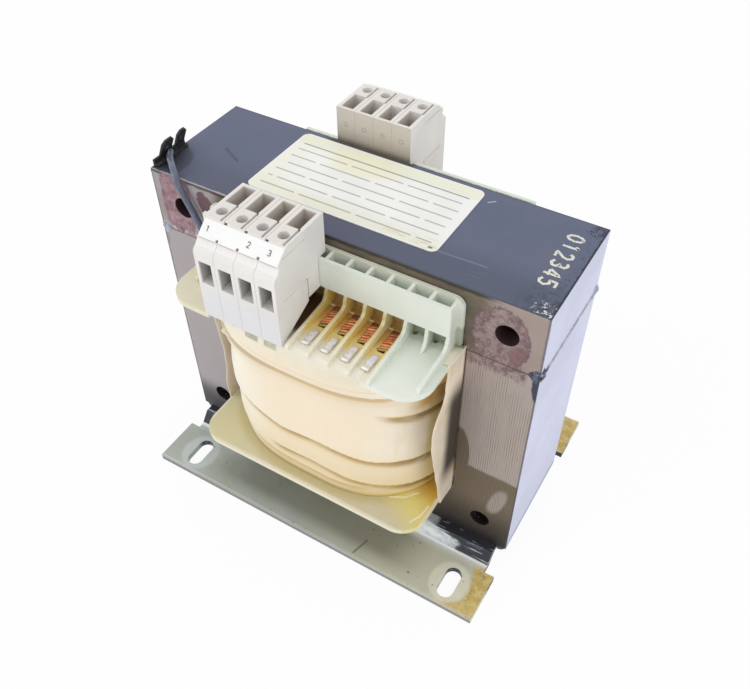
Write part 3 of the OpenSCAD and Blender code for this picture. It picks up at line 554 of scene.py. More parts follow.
def nylon_finish(look):
    """Natural nylon of the former: mint where clean, amber and glossy where varnish ran into the bays."""
    f = Finish("moulded_nylon")
    x, y, z = f.axes
    soft = f.cloud(14, 3)
    fine = f.cloud(1.4, 3, 0.6)
    flow = f.cloud(4, 3, 0.6, (1, 2, 1)).about(5)
    out = abs(y)
    up_here = z.rise(DECK_Z - 4, DECK_Z - 2.5)
    mint = soft.mottle(look.nylon_colour, (235, 241, 230))
    cream = soft.mottle((230, 223, 196), (234, 228, 203))
    wall = z.rise(DECK_Z + 6.5, DECK_Z + 8)
    colour = (x.rise(6, -4) * (1 - wall)).mix(mint, cream)
    lobe = out.rise(42, 50) * x.rise(24, 32) * up_here
    colour.lay(lobe * 0.85, (238, 242, 232))
    rim = out.rise(26.8, 25.6) * z.rise(WALL_TOP - 2.5, WALL_TOP - 1.0)
    colour.lay(rim * 0.7, (226, 224, 204))
    # Painted shade deep in the channel between the wall and the back plate
    deep = out.within(25.9, 30.0, 0.2) * z.rise(WALL_TOP - 1.5, WALL_TOP - 8.0)
    colour.lay(deep * 0.45, x.rise(-5, 25).mix((168, 166, 132), (196, 202, 182)))

    # Varnish in the bays between the fins, running out over the deck, and painted shade under the wall
    bays = (x + flow * 0.3).within(-14.0, 30.4, 1.2) * z.rise(DECK_Z + 9.0, DECK_Z + 6.5) * up_here
    # Amber varnish on the floor, browner at the back under the wall, where painted shade is added
    amber = (out + flow).rise(29, 34).mix((184, 142, 84), (208, 162, 84))
    amber.lay((out + flow).rise(35, 41), (234, 210, 128))
    amber.lay((out + flow).rise(41, 48), (236, 226, 190))
    low_part = z.rise(DECK_Z + 0.6, DECK_Z + 0.2)
    colour.lay(bays * low_part * (out + flow).rise(54, 49), amber)
    raised = 1 - low_part
    flank = abs(f.east).rise(0.45, 0.75) * raised * bays * out.rise(54, 50)
    yellow = out.rise(44, 51).mix(x.rise(16, 24).mix((232, 202, 98), (236, 218, 158)), (238, 230, 200))
    colour.lay(flank * 0.9, yellow)
    crest = abs(f.east).rise(0.6, 0.3) * raised * x.rise(33, 29) * up_here * out.rise(28.5, 30) * (1 - wall)
    colour.lay(crest * 0.9, out.rise(36, 50).mix((214, 196, 136), (240, 232, 204)))
    # The back plate under the wall: painted shade, over amber varnish at the left
    back = out.rise(28.0, 26.6) * z.rise(DECK_Z + 9.5, DECK_Z + 7.5) * up_here
    colour.lay(back * 0.9, x.rise(25, 32).mix((206, 176, 110), (178, 186, 164)))
    # Painted shadow on the deck under the terminals
    terminal_shadow = x.rise(1.6, 0.8) * out.within(27.5, 46.5, 1.5) * z.rise(DECK_Z + 9, DECK_Z + 7) * up_here
    colour.lay(terminal_shadow * x.within(-34, 2, 2) * 0.94, (92, 56, 36))

    # Painted glints at the back of each bay
    bay_glints = f.least(*[f.oval(x, out, (at - 2.4, 29.7), (1.25, 0.5)) for at in LUG_XS]) + fine.about(0.5)
    bay_glints = bay_glints.rise(1.1, 0.6) * up_here * z.rise(DECK_Z + 2, DECK_Z + 1)
    colour.lay(bay_glints * 0.85, (255, 240, 196))
    run_out = x.rise(31.5, 28.5) * up_here * out.rise(43, 48) * (1 - wall) * x.rise(-4, 2)
    colour.lay(run_out * 0.85, (241, 234, 212))

    # Lower flange and tube: cream with honey-coloured pools at the right
    coil = f.oval(x, y, (0, 0), (46.2, 49.6), COIL_POWER) + soft.about(0.05)
    floor_tone = x.rise(-42, -10).mix((222, 214, 172), (216, 210, 184))
    floor_tone.lay(coil.rise(1.10, 1.02) * 0.6, (196, 180, 116))
    spread = x * 0.8 - out + f.cloud(9, 2, 0.6).about(5)
    pool = spread.rise(-25, -6) * x.rise(14, 34)
    honey = spread.rise(-8, 5).mix((242, 228, 140), (232, 182, 66))
    floor_tone.lay(pool * 0.95, honey)
    # Painted glints round the foot of the coil and inside the flange's corner
    flange_glints = [f.stroke(x, out + fine.about(1.2), start, end, 0.5) for start, end in GLINT_LINES]
    floor_tone.lay(f.most(*flange_glints) * 0.8, (255, 252, 232))
    # Painted highlight along the rim of the lower flange
    rim = f.most(out.rise(FLANGE_Y - 1.6, FLANGE_Y - 0.8), abs(x).rise(47.6, 48.4))
    floor_tone.lay(rim * 0.8, (240, 235, 212))
    low = z.rise(DECK_Z - 32, DECK_Z - 42)
    colour.lay(low, floor_tone)
    colour.tint(0.98 + 0.04 * fine)
    wet = f.most(bays, low * 0.6)
    height = soft * 0.12 + fine * 0.02 + wet * flow * 0.10
    return f.surface(colour, 0.34 + 0.14 * fine, height=height, coat=wet * 0.8,
        fixed={"Coat Roughness": 0.08})


def tape_finish(look):
    """Varnished cloth tape: cream, nearly white to the left, amber where varnish gathered."""
    f = Finish("cotton_tape")
    x, y, z = f.axes
    soft = f.cloud(16, 3)
    fine = f.cloud(0.9, 3, 0.6)
    out = abs(y)
    left = soft.mottle((253, 248, 234), (252, 241, 217))
    mid = soft.mottle(look.tape_colour, (250, 234, 208))
    colour = x.rise(-34, -6).mix(left, mid)
    # Painted light: lighter towards the right, where the board shades the coil
    colour.lay(x.rise(20, 36), (254, 244, 224))
    colour.lay(z.rise(66, 44) * x.rise(-34, -4) * 0.8, (238, 217, 172))
    corner = (x + f.cloud(8, 2, 0.5, (1, 1, 4)).about(1.6)).rise(40.9, 41.9)
    high_corner = (x + soft.about(3)).rise(36.5, 41) * z.rise(82, 85)
    corner = f.most(corner, high_corner)
    honey = z.rise(80, 86).mix((248, 232, 168), (226, 178, 92))
    honey.lay(f.cloud(5, 3, 0.6, (1, 1, 3), 4.1).rise(0.35, 0.65) * 0.5, (238, 212, 132))
    colour.lay(corner * 0.9, honey)
    streaks = f.cloud(7, 3, 0.6, (0.3, 1, 2.4), 5.5)
    colour.lay(streaks.rise(0.52, 0.74) * 0.3, (249, 226, 180))
    for index, (low_x, high_x, _, darkening, heights) in enumerate(TAPE_EDGES):
        edge = heights[0] + x.rise(-40, -2) * (heights[1] - heights[0])
        edge = edge + x.rise(2, 48) * (heights[2] - heights[1])
        lean = z - edge - f.maths("SINE", x * 0.19 + index * 1.3) * 0.35 - WRAP_LOW.z
        here = x.within(low_x, high_x, 4)
        uneven_shade = 0.55 + 0.45 * f.cloud(7, 3, 0.6, (2.5, 1, 0.6), index * 3.7).rise(0.3, 0.6)
        wide = 3.4 + 1.6 * x.rise(26, 44)
        under = (lean / wide).rise(-1.15, -0.4) * lean.rise(0.15, -0.05)
        khaki = x.rise(28, 42).mix((184, 150, 88), (142, 112, 46))
        # Painted shade below each edge: a broad soft band, then a darker line right under it
        broad = lean.rise(-7, -1.5) * lean.rise(0.15, -0.05) * here
        colour.lay(broad * darkening * 0.5, (226, 198, 142))
        colour.lay(under * uneven_shade * here * darkening, khaki)
        # Painted highlight on the lip above each edge
        lip = lean.within(0.2, 1.0, 0.25) * here
        colour.lay(lip * 0.6, x.rise(5, 25).mix((255, 248, 222), (252, 232, 164)))
    # At the foot of the coil: painted shade, with amber varnish towards the right
    base = z.rise(WRAP_LOW.z + 2.4, WRAP_LOW.z + 0.4)
    colour.lay(base * 0.7, x.rise(14, 30).mix((186, 166, 112), (232, 200, 96)))
    # Painted shadow under the hem, where the tape turns up under the deck
    hem_shadow = z.within(HEM_Z - 3.4, HEM_Z + 0.4, 0.6) * x.rise(40, 30)
    colour.lay(hem_shadow * 0.85, x.rise(-20, 10).mix((168, 146, 108), (198, 164, 108)))
    shade = z.rise(HEM_Z - 9, HEM_Z - 3) * z.rise(HEM_Z, HEM_Z - 1) * x.rise(42, 32)
    colour.lay(shade * 0.45, (228, 200, 156))
    ridge = abs(z - HEM_Z - RIDGE_UP).rise(0.6, 0.1) * x.rise(38, 28)
    colour.lay(ridge * 0.35, (226, 204, 160))
    film = z.rise(HEM_Z + 3.0, DECK_Z - 6.0) * out.rise(42, 46) * x.rise(34, 24)
    colour.lay(film * 0.8, soft.mottle((238, 230, 204), (245, 238, 216)))
    lumps = z.rise(DECK_Z - 3.0, DECK_Z - 0.6) * out.rise(46, 48)
    colour.lay(lumps * 0.85, (240, 235, 220))
    bay = (x - POLE_LOW + 1.3).off_middle(POLE_PITCH).rise(3.0, 2.2) * x.within(-17.3, -3, 0.5)
    dull = 0.45 + 0.4 * (soft + fine).rise(0.8, 1.2)
    colour.lay(bay * z.within(DECK_Z - 3.7, DECK_Z - 1.0, 0.5) * dull, (164, 160, 144))
    weave = z.wave(0.7) * 0.5 + (x + y).wave(0.8) * 0.5
    colour.tint(0.98 + 0.035 * fine + 0.006 * weave)
    height = weave * 0.010 + fine * 0.03 + soft * 0.3
    return f.surface(colour, 0.40 + 0.16 * fine, height=height,
        fixed={"Coat Weight": 0.15, "Coat Roughness": 0.3})


def board_finish(look):
    """Pressboard: cream in the light, with painted shade beside the core."""
    f = Finish("pressboard")
    x, y, z = f.axes
    soft = f.cloud(9, 3)
    fine = f.cloud(0.8, 3, 0.6)
    out = abs(y)
    colour = soft.mottle(look.board_colour, (248, 235, 212))
    colour.lay(x.rise(10, -10) * 0.6, (206, 196, 190))
    right = x.rise(-10, 10)
    band = out + f.cloud(10, 2, 0.5, (1, 1, 4)).about(2)
    # Painted shade on the flap beside the core
    core_shade = band.rise(FACE_Y + 13.0, FACE_Y + 6.0) * z.within(DECK_Z - 62, DECK_Z - 16, 7)
    colour.lay(z.rise(DECK_Z - 12, DECK_Z - 40) * right * 0.6, (222, 211, 192))
    colour.lay(core_shade * right * 0.97, (46, 32, 25))
    colour.lay(z.rise(DECK_Z - 1, DECK_Z + 0.3) * 0.8, (246, 241, 220))
    # Painted shade in the corner against the core's face
    inner = out.rise(FACE_Y + 1.6, FACE_Y) * z.rise(DECK_Z, DECK_Z - 3)
    colour.lay(inner * 0.6, (88, 70, 52))
    colour.tint(0.96 + 0.08 * fine)
    return f.surface(colour, 0.55 + 0.15 * fine, height=fine * 0.05 + soft * 0.3)


def copper_finish():
    f = Finish("copper_wire")
    _, y, _ = f.axes
    strand = f.cloud(1.0, 2, 0.5, (9, 0.8, 1), 1.3)
    out = abs(y)
    colour = strand.rise(0.3, 0.65).mix((176, 98, 58), (240, 162, 110))
    colour.lay(out.rise(LUG_BACK - 5.2, LUG_BACK - 3.4), (170, 148, 92))
    colour.lay(out.rise(LUG_BACK - 9.5, LUG_BACK - 12.5) * 0.75, (92, 46, 32))
    return f.surface(colour, 0.28 + 0.2 * strand, metal=0.55)


def tin_finish():
    f = Finish("tinned_copper")
    _, y, _ = f.axes
    fine = f.cloud(1.2, 3, 0.6)
    out = abs(y)
    colour = fine.mottle((216, 208, 212), (238, 232, 232), 0.15)
    # Painted highlight on the rolled lip
    colour.lay(out.rise(LUG_FRONT - 1.3, LUG_FRONT - 0.6), (252, 250, 244))
    return f.surface(colour, 0.26 + 0.2 * fine, height=fine * 0.05, metal=0.15)


def terminal_finish(look):
    """Light grey moulded plastic with faint flow marks, painted shade in the wells and pin marks behind."""
    f = Finish("terminal_plastic")
    x, y, z = f.axes
    soft = f.cloud(12, 2)
    fine = f.cloud(0.9, 3, 0.6)
    out = abs(y)
    face = abs(f.north).rise(0.5, 0.9)
    colour = soft.mottle(look.terminal_colour, (236, 234, 231))
    colour.lay(z.rise(125, 114) * face * 0.7, (226, 226, 232))
    colour.lay(z.rise(120, 132) * face * 0.5, (246, 243, 238))
    warm = z.rise(129, 140) * f.up.rise(0.3, 0.9)
    colour.lay(warm * 0.6, (238, 231, 223))
    across = (x - POLE_LOW).off_middle(POLE_PITCH)
    # Painted highlight along the ridges between the poles
    ridges = abs(across - 3.05).rise(0.3, 0.1) * z.rise(POLE_TOP - 1.5, POLE_TOP - 0.5)
    colour.lay(ridges * 0.5, (250, 246, 240))
    # Painted shade in the wells on top and the mouths in front, darker deeper in
    well = out.within(28.2, 37.7, 0.15) * across.rise(2.62, 2.40) * z.rise(POLE_TOP - 0.25, POLE_TOP - 0.8)
    mouth = across.rise(2.62, 2.42) * z.within(123.4, 132.0, 0.1)
    mouth *= out.rise(POLE_FRONT - 0.25, POLE_FRONT - 0.9)
    well_shade = z.rise(POLE_TOP - 10, POLE_TOP - 1).mix((176, 164, 150), (208, 198, 188))
    colour.lay(well * 0.92, well_shade)
    depth = out.rise(POLE_FRONT - 8, POLE_FRONT - 1).mix((104, 97, 94), (176, 170, 166))
    colour.lay(mouth * 0.85, depth)
    rear_face = abs(f.north).rise(0.7, 0.9) * out.rise(28.4, 27.6)
    beige = z.rise(131, 143).mix((204, 195, 179), (214, 206, 195))
    # Painted shadow at the base of the rear terminals' backs
    beige.lay((z + fine.about(1.2)).rise(134.0, 129.6) * 0.85, (136, 124, 102))
    colour.lay(rear_face, beige)
    # Painted shadow line just under the marker strip
    slip = abs(z - STRIP_LOW_Z + 0.35).rise(0.42, 0.2) * out.rise(POLE_FRONT - 3.6, POLE_FRONT - 3.2)
    colour.lay(slip * across.rise(3.1, 2.8) * 0.8, (112, 110, 112))
    # Painted highlight on the shoulder below the marker strip
    bright = z.within(STRIP_LOW_Z - 3.2, STRIP_LOW_Z - 0.9, 0.4)
    bright *= out.rise(POLE_FRONT - 3.2, POLE_FRONT - 2.6)
    colour.lay(bright * 0.6, (252, 250, 250))
    pins = f.least(*[f.oval(x, z, (at, 138.0), (0.75, 0.75)) for at in POLE_XS])
    pin_ring = abs(pins - 1).rise(0.4, 0.1) * rear_face
    colour.lay(pin_ring * 0.35, (150, 142, 130))
    spots = f.cloud(3, 2, 0.5, shift=6.1).rise(0.72, 0.76)
    colour.lay(spots * 0.25, (160, 155, 148))
    colour.tint(0.98 + 0.04 * fine)
    return f.surface(colour, 0.38 + 0.14 * fine, height=soft * 0.08 + fine * 0.015 - pin_ring * 0.1)


def marker_finish():
    f = Finish("marker_plastic")
    soft = f.cloud(9, 2)
    fine = f.cloud(0.8, 3, 0.6)
    colour = soft.mottle((248, 248, 248), (253, 253, 252))
    colour.tint(0.98 + 0.03 * fine)
    return f.surface(colour, 0.42 + 0.1 * fine, height=fine * 0.012)


def clamp_finish():
    f = Finish("clamp_metal")
    fine = f.cloud(0.9, 3, 0.6)
    colour = fine.mottle((138, 132, 124), (196, 192, 184), 0.15)
    return f.surface(colour, 0.35 + 0.25 * fine, height=fine * 0.06, metal=0.6)


def label_finish(look):
    """Printed film, left without words: off-white with pale yellow bands and plain grey rules."""
    f = Finish("label_film")
    x, y, _ = f.axes
    soft = f.cloud(15, 2)
    fine = f.cloud(1.0, 3, 0.6)
    middle = (LABEL_LOW + LABEL_HIGH) / 2
    white = soft.mottle(look.label_colour, (253, 253, 250))
    cover = (y.rise(LABEL_HIGH.y - 6.2, LABEL_HIGH.y - 5.6) * 0.8).mix(white, (244, 244, 222))
    patch = (f.oval(x, y, (-12, 14), (16, 7)) + soft.about(0.4)).rise(1.1, 0.6)
    cover.lay(patch * 0.6, (248, 245, 206))
    front = (y + (x - 10) * 0.02).rise(-6.5, -12.5) + x.rise(-28, -38) * 0.6
    cover.lay(f.least(front, 1.0) * 0.7, (243, 242, 220))
    ends = abs(x - middle.x).rise(33.5, 32.8)
    rule = abs(y - (LABEL_HIGH.y - 6.3)).rise(0.4, 0.2)
    rows = (y - LABEL_LOW.y - 4.0) * (1 / 4.6)
    row_gap = abs(rows - f.maths("ROUND", rows)) * 4.6
    fields = row_gap.rise(0.42, 0.2) * y.within(LABEL_LOW.y + 3.0, LABEL_HIGH.y - 8.5, 0.2)
    pieces = abs(f.maths("SINE", x * 0.14 + f.maths("ROUND", rows) * 1.7)).rise(0.1, 0.16)
    cover.lay(f.most(rule * 0.8, fields * pieces * 0.6) * ends, (118, 118, 108))
    worn = x.rise(8, 20) * y.rise(-8, -12) * f.cloud(2.4, 4, 0.7, (4, 0.7, 1), 2.9).rise(0.52, 0.62)
    cover.lay(worn * 0.5, (196, 192, 170))
    nick = f.oval(x, y, (LABEL_HIGH.x - 2.6, LABEL_LOW.y + 1.7), (0.9, 0.5)).rise(1.2, 0.7)
    cover.lay(nick * 0.85, (70, 66, 50))
    rim = f.most(abs(x - middle.x).rise(35.6, 36.3), abs(y - middle.y).rise(17.6, 18.3))
    cover.lay(rim * 0.6, (253, 253, 251))
    cover.tint(0.985 + 0.02 * fine)
    return f.surface(cover, 0.33 + 0.12 * fine, height=soft * 0.06 + fine * 0.01)


def dark_steel_finish():
    f = Finish("dark_steel")
    fine = f.cloud(1.0, 3, 0.6)
    colour = fine.rise(0.35, 0.7).mix((34, 34, 36), (64, 64, 67))
    colour.lay(f.cloud(1.6, 2, shift=2).rise(0.66, 0.72) * 0.4, (110, 110, 114))
    return f.surface(colour, 0.5 + 0.2 * fine, height=fine * 0.04, metal=0.2)


def lead_finish(look):
    f = Finish("lead_insulation")
    fine = f.cloud(4, 2, 0.5, (1, 1, 3))
    colour = fine.mottle(look.lead_colour, (98, 106, 128))
    return f.surface(colour, 0.22 + 0.1 * fine, height=fine * 0.03,
        fixed={"Coat Weight": 0.4, "Coat Roughness": 0.12})


def print_finish(name, ink, worn, amount):
    """Ink or paint of a mark, with worn places in a second colour."""
    f = Finish(name)
    fine = f.cloud(0.7, 4, 0.7)
    places = fine.rise(0.55 - amount, 0.62 - amount) if amount else 0.0
    colour = f.blend(places, ink, worn)
    return f.surface(colour, 0.5 + 0.2 * fine, height=fine * 0.03)


def floor_finish(name, camera_share):
    """Pale matt floor that the camera and glossy surfaces see as white, with the shadow kept."""
    f = Finish(name)
    speck = f.cloud(40, 2)
    f.surface(speck.mix((250, 250, 250), (252, 252, 252)), 0.9)
    rays = f.node("LightPath", out="Is Camera Ray")
    glossy = f.node("LightPath", out="Is Glossy Ray")
    through = f.node("LightPath", out="Is Transmission Ray")
    seen = f.most(rays, glossy, through) * camera_share
    glow = f.node("Emission", None, {"Color": (1.0, 1.0, 1.0, 1.0), "Strength": 1.0})
    plain = Shade(f, f.shader.outputs[0])
    both = f.node("MixShader", None, {0: seen, 1: plain, 2: glow})
    f.tree.links.new(both.socket, f.tree.nodes["Material Output"].inputs["Surface"])
    return f.material


def soften(obj, width, angle):
    """Rounds a CAD node's edges as it is shown, by modifiers only. The width is in millimetres."""
    weld = obj.modifiers.new("weld", "WELD")
    weld.merge_threshold = 0.00001
    flat = obj.modifiers.new("flat", "DECIMATE")
    flat.decimate_type = "DISSOLVE"
    flat.angle_limit = math.radians(1.5)
    bevel = obj.modifiers.new("round", "BEVEL")
    bevel.width = width * MM
    bevel.segments = 2
    bevel.limit_method = "ANGLE"
    bevel.angle_limit = math.radians(angle)
    bevel.use_clamp_overlap = True
    normals = obj.modifiers.new("normals", "WEIGHTED_NORMAL")
    normals.keep_sharp = True


def dress(nodes, material, width=0.0, angle=35):
    """Gives CAD nodes their material, in the slots they have, and rounds their edges."""
    for node in nodes:
        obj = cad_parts[node]
        if obj.data.materials:
            for slot in obj.material_slots:
                slot.material = material
        else:
            obj.data.materials.append(material)
        if width:
            soften(obj, width, angle)


def new_piece(name, build, material, replaced=(), smooth=True):
    """Adds a piece on the root body, from a function that fills a bmesh in millimetres.

    It gets its finish, and the CAD nodes that it stands for are hidden."""
    shape = bmesh.new()
    build(shape)
    bmesh.ops.recalc_face_normals(shape, faces=shape.faces)
    shape.transform(Matrix.Scale(MM, 4))
    for face in shape.faces:
        face.smooth = smooth
    obj = show(name, shape, material)
    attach(obj, "root")
    if replaced:
        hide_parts(*replaced)
    return obj


def show(name, shape, material):
    """Puts a finished bmesh into the scene as an object."""
    mesh = bpy.data.meshes.new(name)
    shape.to_mesh(mesh)
    shape.free()
    mesh.materials.append(material)
    obj = bpy.data.objects.new(name, mesh)
    bpy.context.scene.collection.objects.link(obj)
    return obj


def grid(shape, rows, closed=False):
    """Joins rows of points into a skin of quads."""
    made = [[shape.verts.new(point) for point in row] for row in rows]
    for first, second in zip(made, made[1:]):
        count = len(first)
        for i in range(count if closed else count - 1):
            j = (i + 1) % count
            shape.faces.new((first[i], first[j], second[j], second[i]))
    return made


def close_ends(shape, made):
    """Faces over the first and last rings of a skin."""
    shape.faces.new(made[0])
    shape.faces.new(made[-1])


def ramp(value, low, high):
    """The same climb from 0 to 1 as a finish's rise, for building."""
    t = min(max((value - low) / (high - low), 0.0), 1.0)
    return t * t * (3 - 2 * t)


def ripple(x, y, z, size, seed=0.0):
    """Smooth unevenness from -1 to 1, the same each run."""
    return noise.noise(Vector((x / size + seed, y / size, z / size)))


def bulged(angle, half_x, half_y):
    """A point on the winding's full-sided outline."""
    def reach(turn, half):
        return half * math.copysign(abs(turn) ** (2 / COIL_POWER), turn)
    return reach(math.cos(angle), half_x), reach(math.sin(angle), half_y)


def edge_height(edge, x):
    """Height of a tape edge at x, the same line that the finish draws."""
    left, middle, right = TAPE_EDGES[edge][4]
    height = left + (middle - left) * ramp(x, -40, -2) + (right - middle) * ramp(x, 2, 48)
    return WRAP_LOW.z + height + 0.35 * math.sin(x * 0.19 + edge * 1.3)


def build_wrap(shape):
    """Tape wound round the coil in bands whose edges stand up one over the other, full under the deck."""
    around, up = 260, 176
    low = WRAP_LOW.z
    rows = []
    for j in range(up + 1):
        height = low + (WRAP_HIGH.z - low) * j / up
        row = []
        for i in range(around):
            angle = 2 * math.pi * i / around
            z = height
            x, y = bulged(angle, WRAP_HIGH.x, WRAP_HIGH.y)
            grow = -0.7 + 0.2 * ripple(x, y, z, 13) + 0.08 * ripple(x, y, z * 3, 7, 9)
            grow += 0.9 * ramp(x, 5, -30) * ramp(z, low + 4, low + 14)
            grow -= 0.6 * ramp(z, low + 6, low) * ramp(x, 20, -10)
            grow += 1.9 * ramp(z, HEM_Z - 15, HEM_Z - 2) * ramp(x, 42, 28)
            for edge, (low_x, high_x, step, _, _) in enumerate(TAPE_EDGES):
                lean = z - edge_height(edge, x)
                here = ramp(x, low_x - 4, low_x + 4) * ramp(x, high_x + 4, high_x - 4)
                grow += here * step * ramp(lean, -0.25, 0.3) * ramp(lean, 20, 3)
            grow = max(grow, -1.2)
            x += grow * x / WRAP_HIGH.x
            y += grow * y / WRAP_HIGH.y
            hem_x, hem_y = bulged(angle, 50.0 if x > 0 else 45.6, HEM_OUT)
            ridge = 0.7 * math.exp(-((z - HEM_Z - RIDGE_UP) / 1.7) ** 2)
            hem_x = min(max(hem_x, -48.7), 48.7)
            hem_y += ridge * math.sin(angle) * ramp(abs(math.sin(angle)), 0.3, 0.7)
            full = ramp(z, HEM_Z - 0.3, HEM_Z + 1.0)
            z = min(z, DECK_Z - 4.2 + 2.0 * ramp(abs(y), 29.2, 30.4))
            row.append((x + (hem_x - x) * full, y + (hem_y - y) * full, z))
        rows.append(row)
    made = grid(shape, rows, closed=True)
    close_ends(shape, made)


def build_cover(side):
    """Tape folded up over the edge of the flange, with soft lumps where the winding's ends pass under it."""
    def build(shape):
        profile = [
            (48.6, -0.05), (49.4, 0.25), (50.6, 0.42), (51.8, 0.35), (52.6, -0.1), (53.3, -1.0),
            (53.8, -2.4), (54.0, -4.5), (54.05, -7.5), (53.95, -9.2), (53.6, -9.9), (53.7, -10.7),
            (53.4, -12.2), (53.0, -13.4), (52.6, -13.9), (51.8, -14.1), (50.4, -13.6), (49.6, -13.2)
        ]
        start, length, steps = -31.5, 61.5, 130
        rows = []
        for i in range(steps + 1):
            x = start + length * i / steps
            half = 50 if x > 0 else 47
            bow = HEM_OUT - HEM_OUT * (1 - abs(x / half) ** COIL_POWER) ** (1 / COIL_POWER)
            row = []
            for out, drop in profile:
                hang = ramp(-drop, 1.0, 6.5)
                y = out - bow * (0.1 + 0.9 * hang) * ramp(out, 49.4, 51.0)
                z = DECK_Z + drop + 0.4 * ripple(x, out, drop, 9) * hang
                for lump_x in RIB_XS[:4]:
                    away = math.hypot((x - lump_x) / 1.6, (drop + 1.3) / 1.9)
                    lump = math.exp(-away * away) * ramp(out, 51.0, 52.4)
                    y += 0.8 * lump
                    z += 0.6 * lump
                ends = ramp(x, -29.0, start) + ramp(x, 27.6, 30.0)
                z -= ends * ramp(-drop, 4.0, 0.0) * 2.8
                y -= ends * 0.5
                row.append((x, side * y, z))
            rows.append(row)
        grid(shape, rows)
    return build


def tube(shape, points, radius, sides):
    """A round skin along points."""
    rows = []
    last = len(points) - 1
    normal = Vector((0, 0, 1))
    for i, point in enumerate(points):
        ahead = (points[min(i + 1, last)] - points[max(i - 1, 0)]).normalized()
        normal = (normal - ahead * normal.dot(ahead)).normalized()
        across = ahead.cross(normal)
        rows.append([
            point + radius * (math.cos(a) * across + math.sin(a) * normal)
            for a in (2 * math.pi * k / sides for k in range(sides))
        ])
    made = grid(shape, rows, closed=True)
    close_ends(shape, made)


def build_strands(side):
    """Enamelled wires of the winding, seen side by side through the slots in the deck."""
    def build(shape):
        start, end, wire = LUG_BACK - 12.5, LUG_BACK - 2.6, 1.26
        count = int((end - start) / wire) + 1
        for slot_x in LUG_XS:
            for k in range(count):
                out = start + k * wire
                sag = -0.5 - 0.35 * ramp(out, start + 2.5, start) - 0.15 * math.sin(k * 2.1 + slot_x)
                points = [
                    Vector((slot_x + t, side * (out - 0.34 * t), DECK_Z + sag - 0.05 * t * t))
                    for t in (-1.7, -1.1, -0.5, 0.0, 0.5, 1.1, 1.7)
                ]
                tube(shape, points, wire * 0.47, 10)
    return build


def build_lugs(side):
    """Tinned ends folded over, with a rolled lip in front."""
    def build(shape):
        section = [
            (-1.0, -0.9), (-1.0, -0.15), (-0.72, 0.02), (0.0, 0.08), (0.72, 0.02), (1.0, -0.15), (1.0, -0.9)
        ]
        steps, lip = 16, 0.8
        for index, lug_x in enumerate(LUG_XS):
            rows = []
            for i in range(steps + 1):
                t = i / steps
                out = LUG_BACK + (LUG_FRONT - LUG_BACK) * t
                z = DECK_Z + 0.75 + 0.25 * math.sin(t * math.pi) + 0.12 * ripple(lug_x, out, index, 1.6)
                if t > lip:
                    z += 0.55 * math.sin((t - lip) / 0.2 * math.pi / 2)
                half = LUG_W / 2 * (0.86 + 0.14 * math.sin(min(t * 4, 1.0) * math.pi / 2))
                rows.append([
                    (lug_x + half * across, side * out, max(z + rise * 0.9, DECK_Z - 0.02))
                    for across, rise in section
                ])
            made = grid(shape, rows)
            close_ends(shape, made)
    return build


def build_bead(mirror):
    """A weld: a thin run along the joint with a thick lump wrapped round the edge at each end."""
    def build(shape):
        steps = 60
        places = [-FACE_Y + 2 * FACE_Y * i / steps for i in range(steps + 1)]
        points = [Vector((HALF_W - 0.45, y, JOINT_Z - 0.3 + 0.5 * ripple(0, y, 0, 5))) for y in places]
        tube(shape, points, 0.95, 10)
        for end in (-1, 1):
            lump = bmesh.ops.create_icosphere(shape, subdivisions=4, radius=1.0)["verts"]
            for vert in lump:
                p = vert.co.copy()
                swell = 1 + 0.22 * ripple(*p, 0.7, 3.0 + end) + 0.10 * ripple(*p, 0.25, 8.0)
                down = max(-p.z, 0)
                wide = 2.75 * swell / (1 + 0.35 * down)
                tall = 3.1 * swell * (1 + 2.4 * down) ** 0.8
                vert.co = Vector((
                    HALF_W - 1.9 + wide * p.x, end * (FACE_Y - 1.9) + wide * p.y, JOINT_Z + 0.6 + tall * p.z))
        if mirror:
            bmesh.ops.scale(shape, vec=(-1, 1, 1), verts=shape.verts)
    return build


def flap_reach(flap, depth):
    """How far a hand-cut sheet reaches out from the core's face at a depth below its top."""
    for (d0, r0), (d1, r1) in zip(flap, flap[1:]):
        if depth <= d1:
            return r0 + (r1 - r0) * (depth - d0) / (d1 - d0)
    return flap[-1][1]


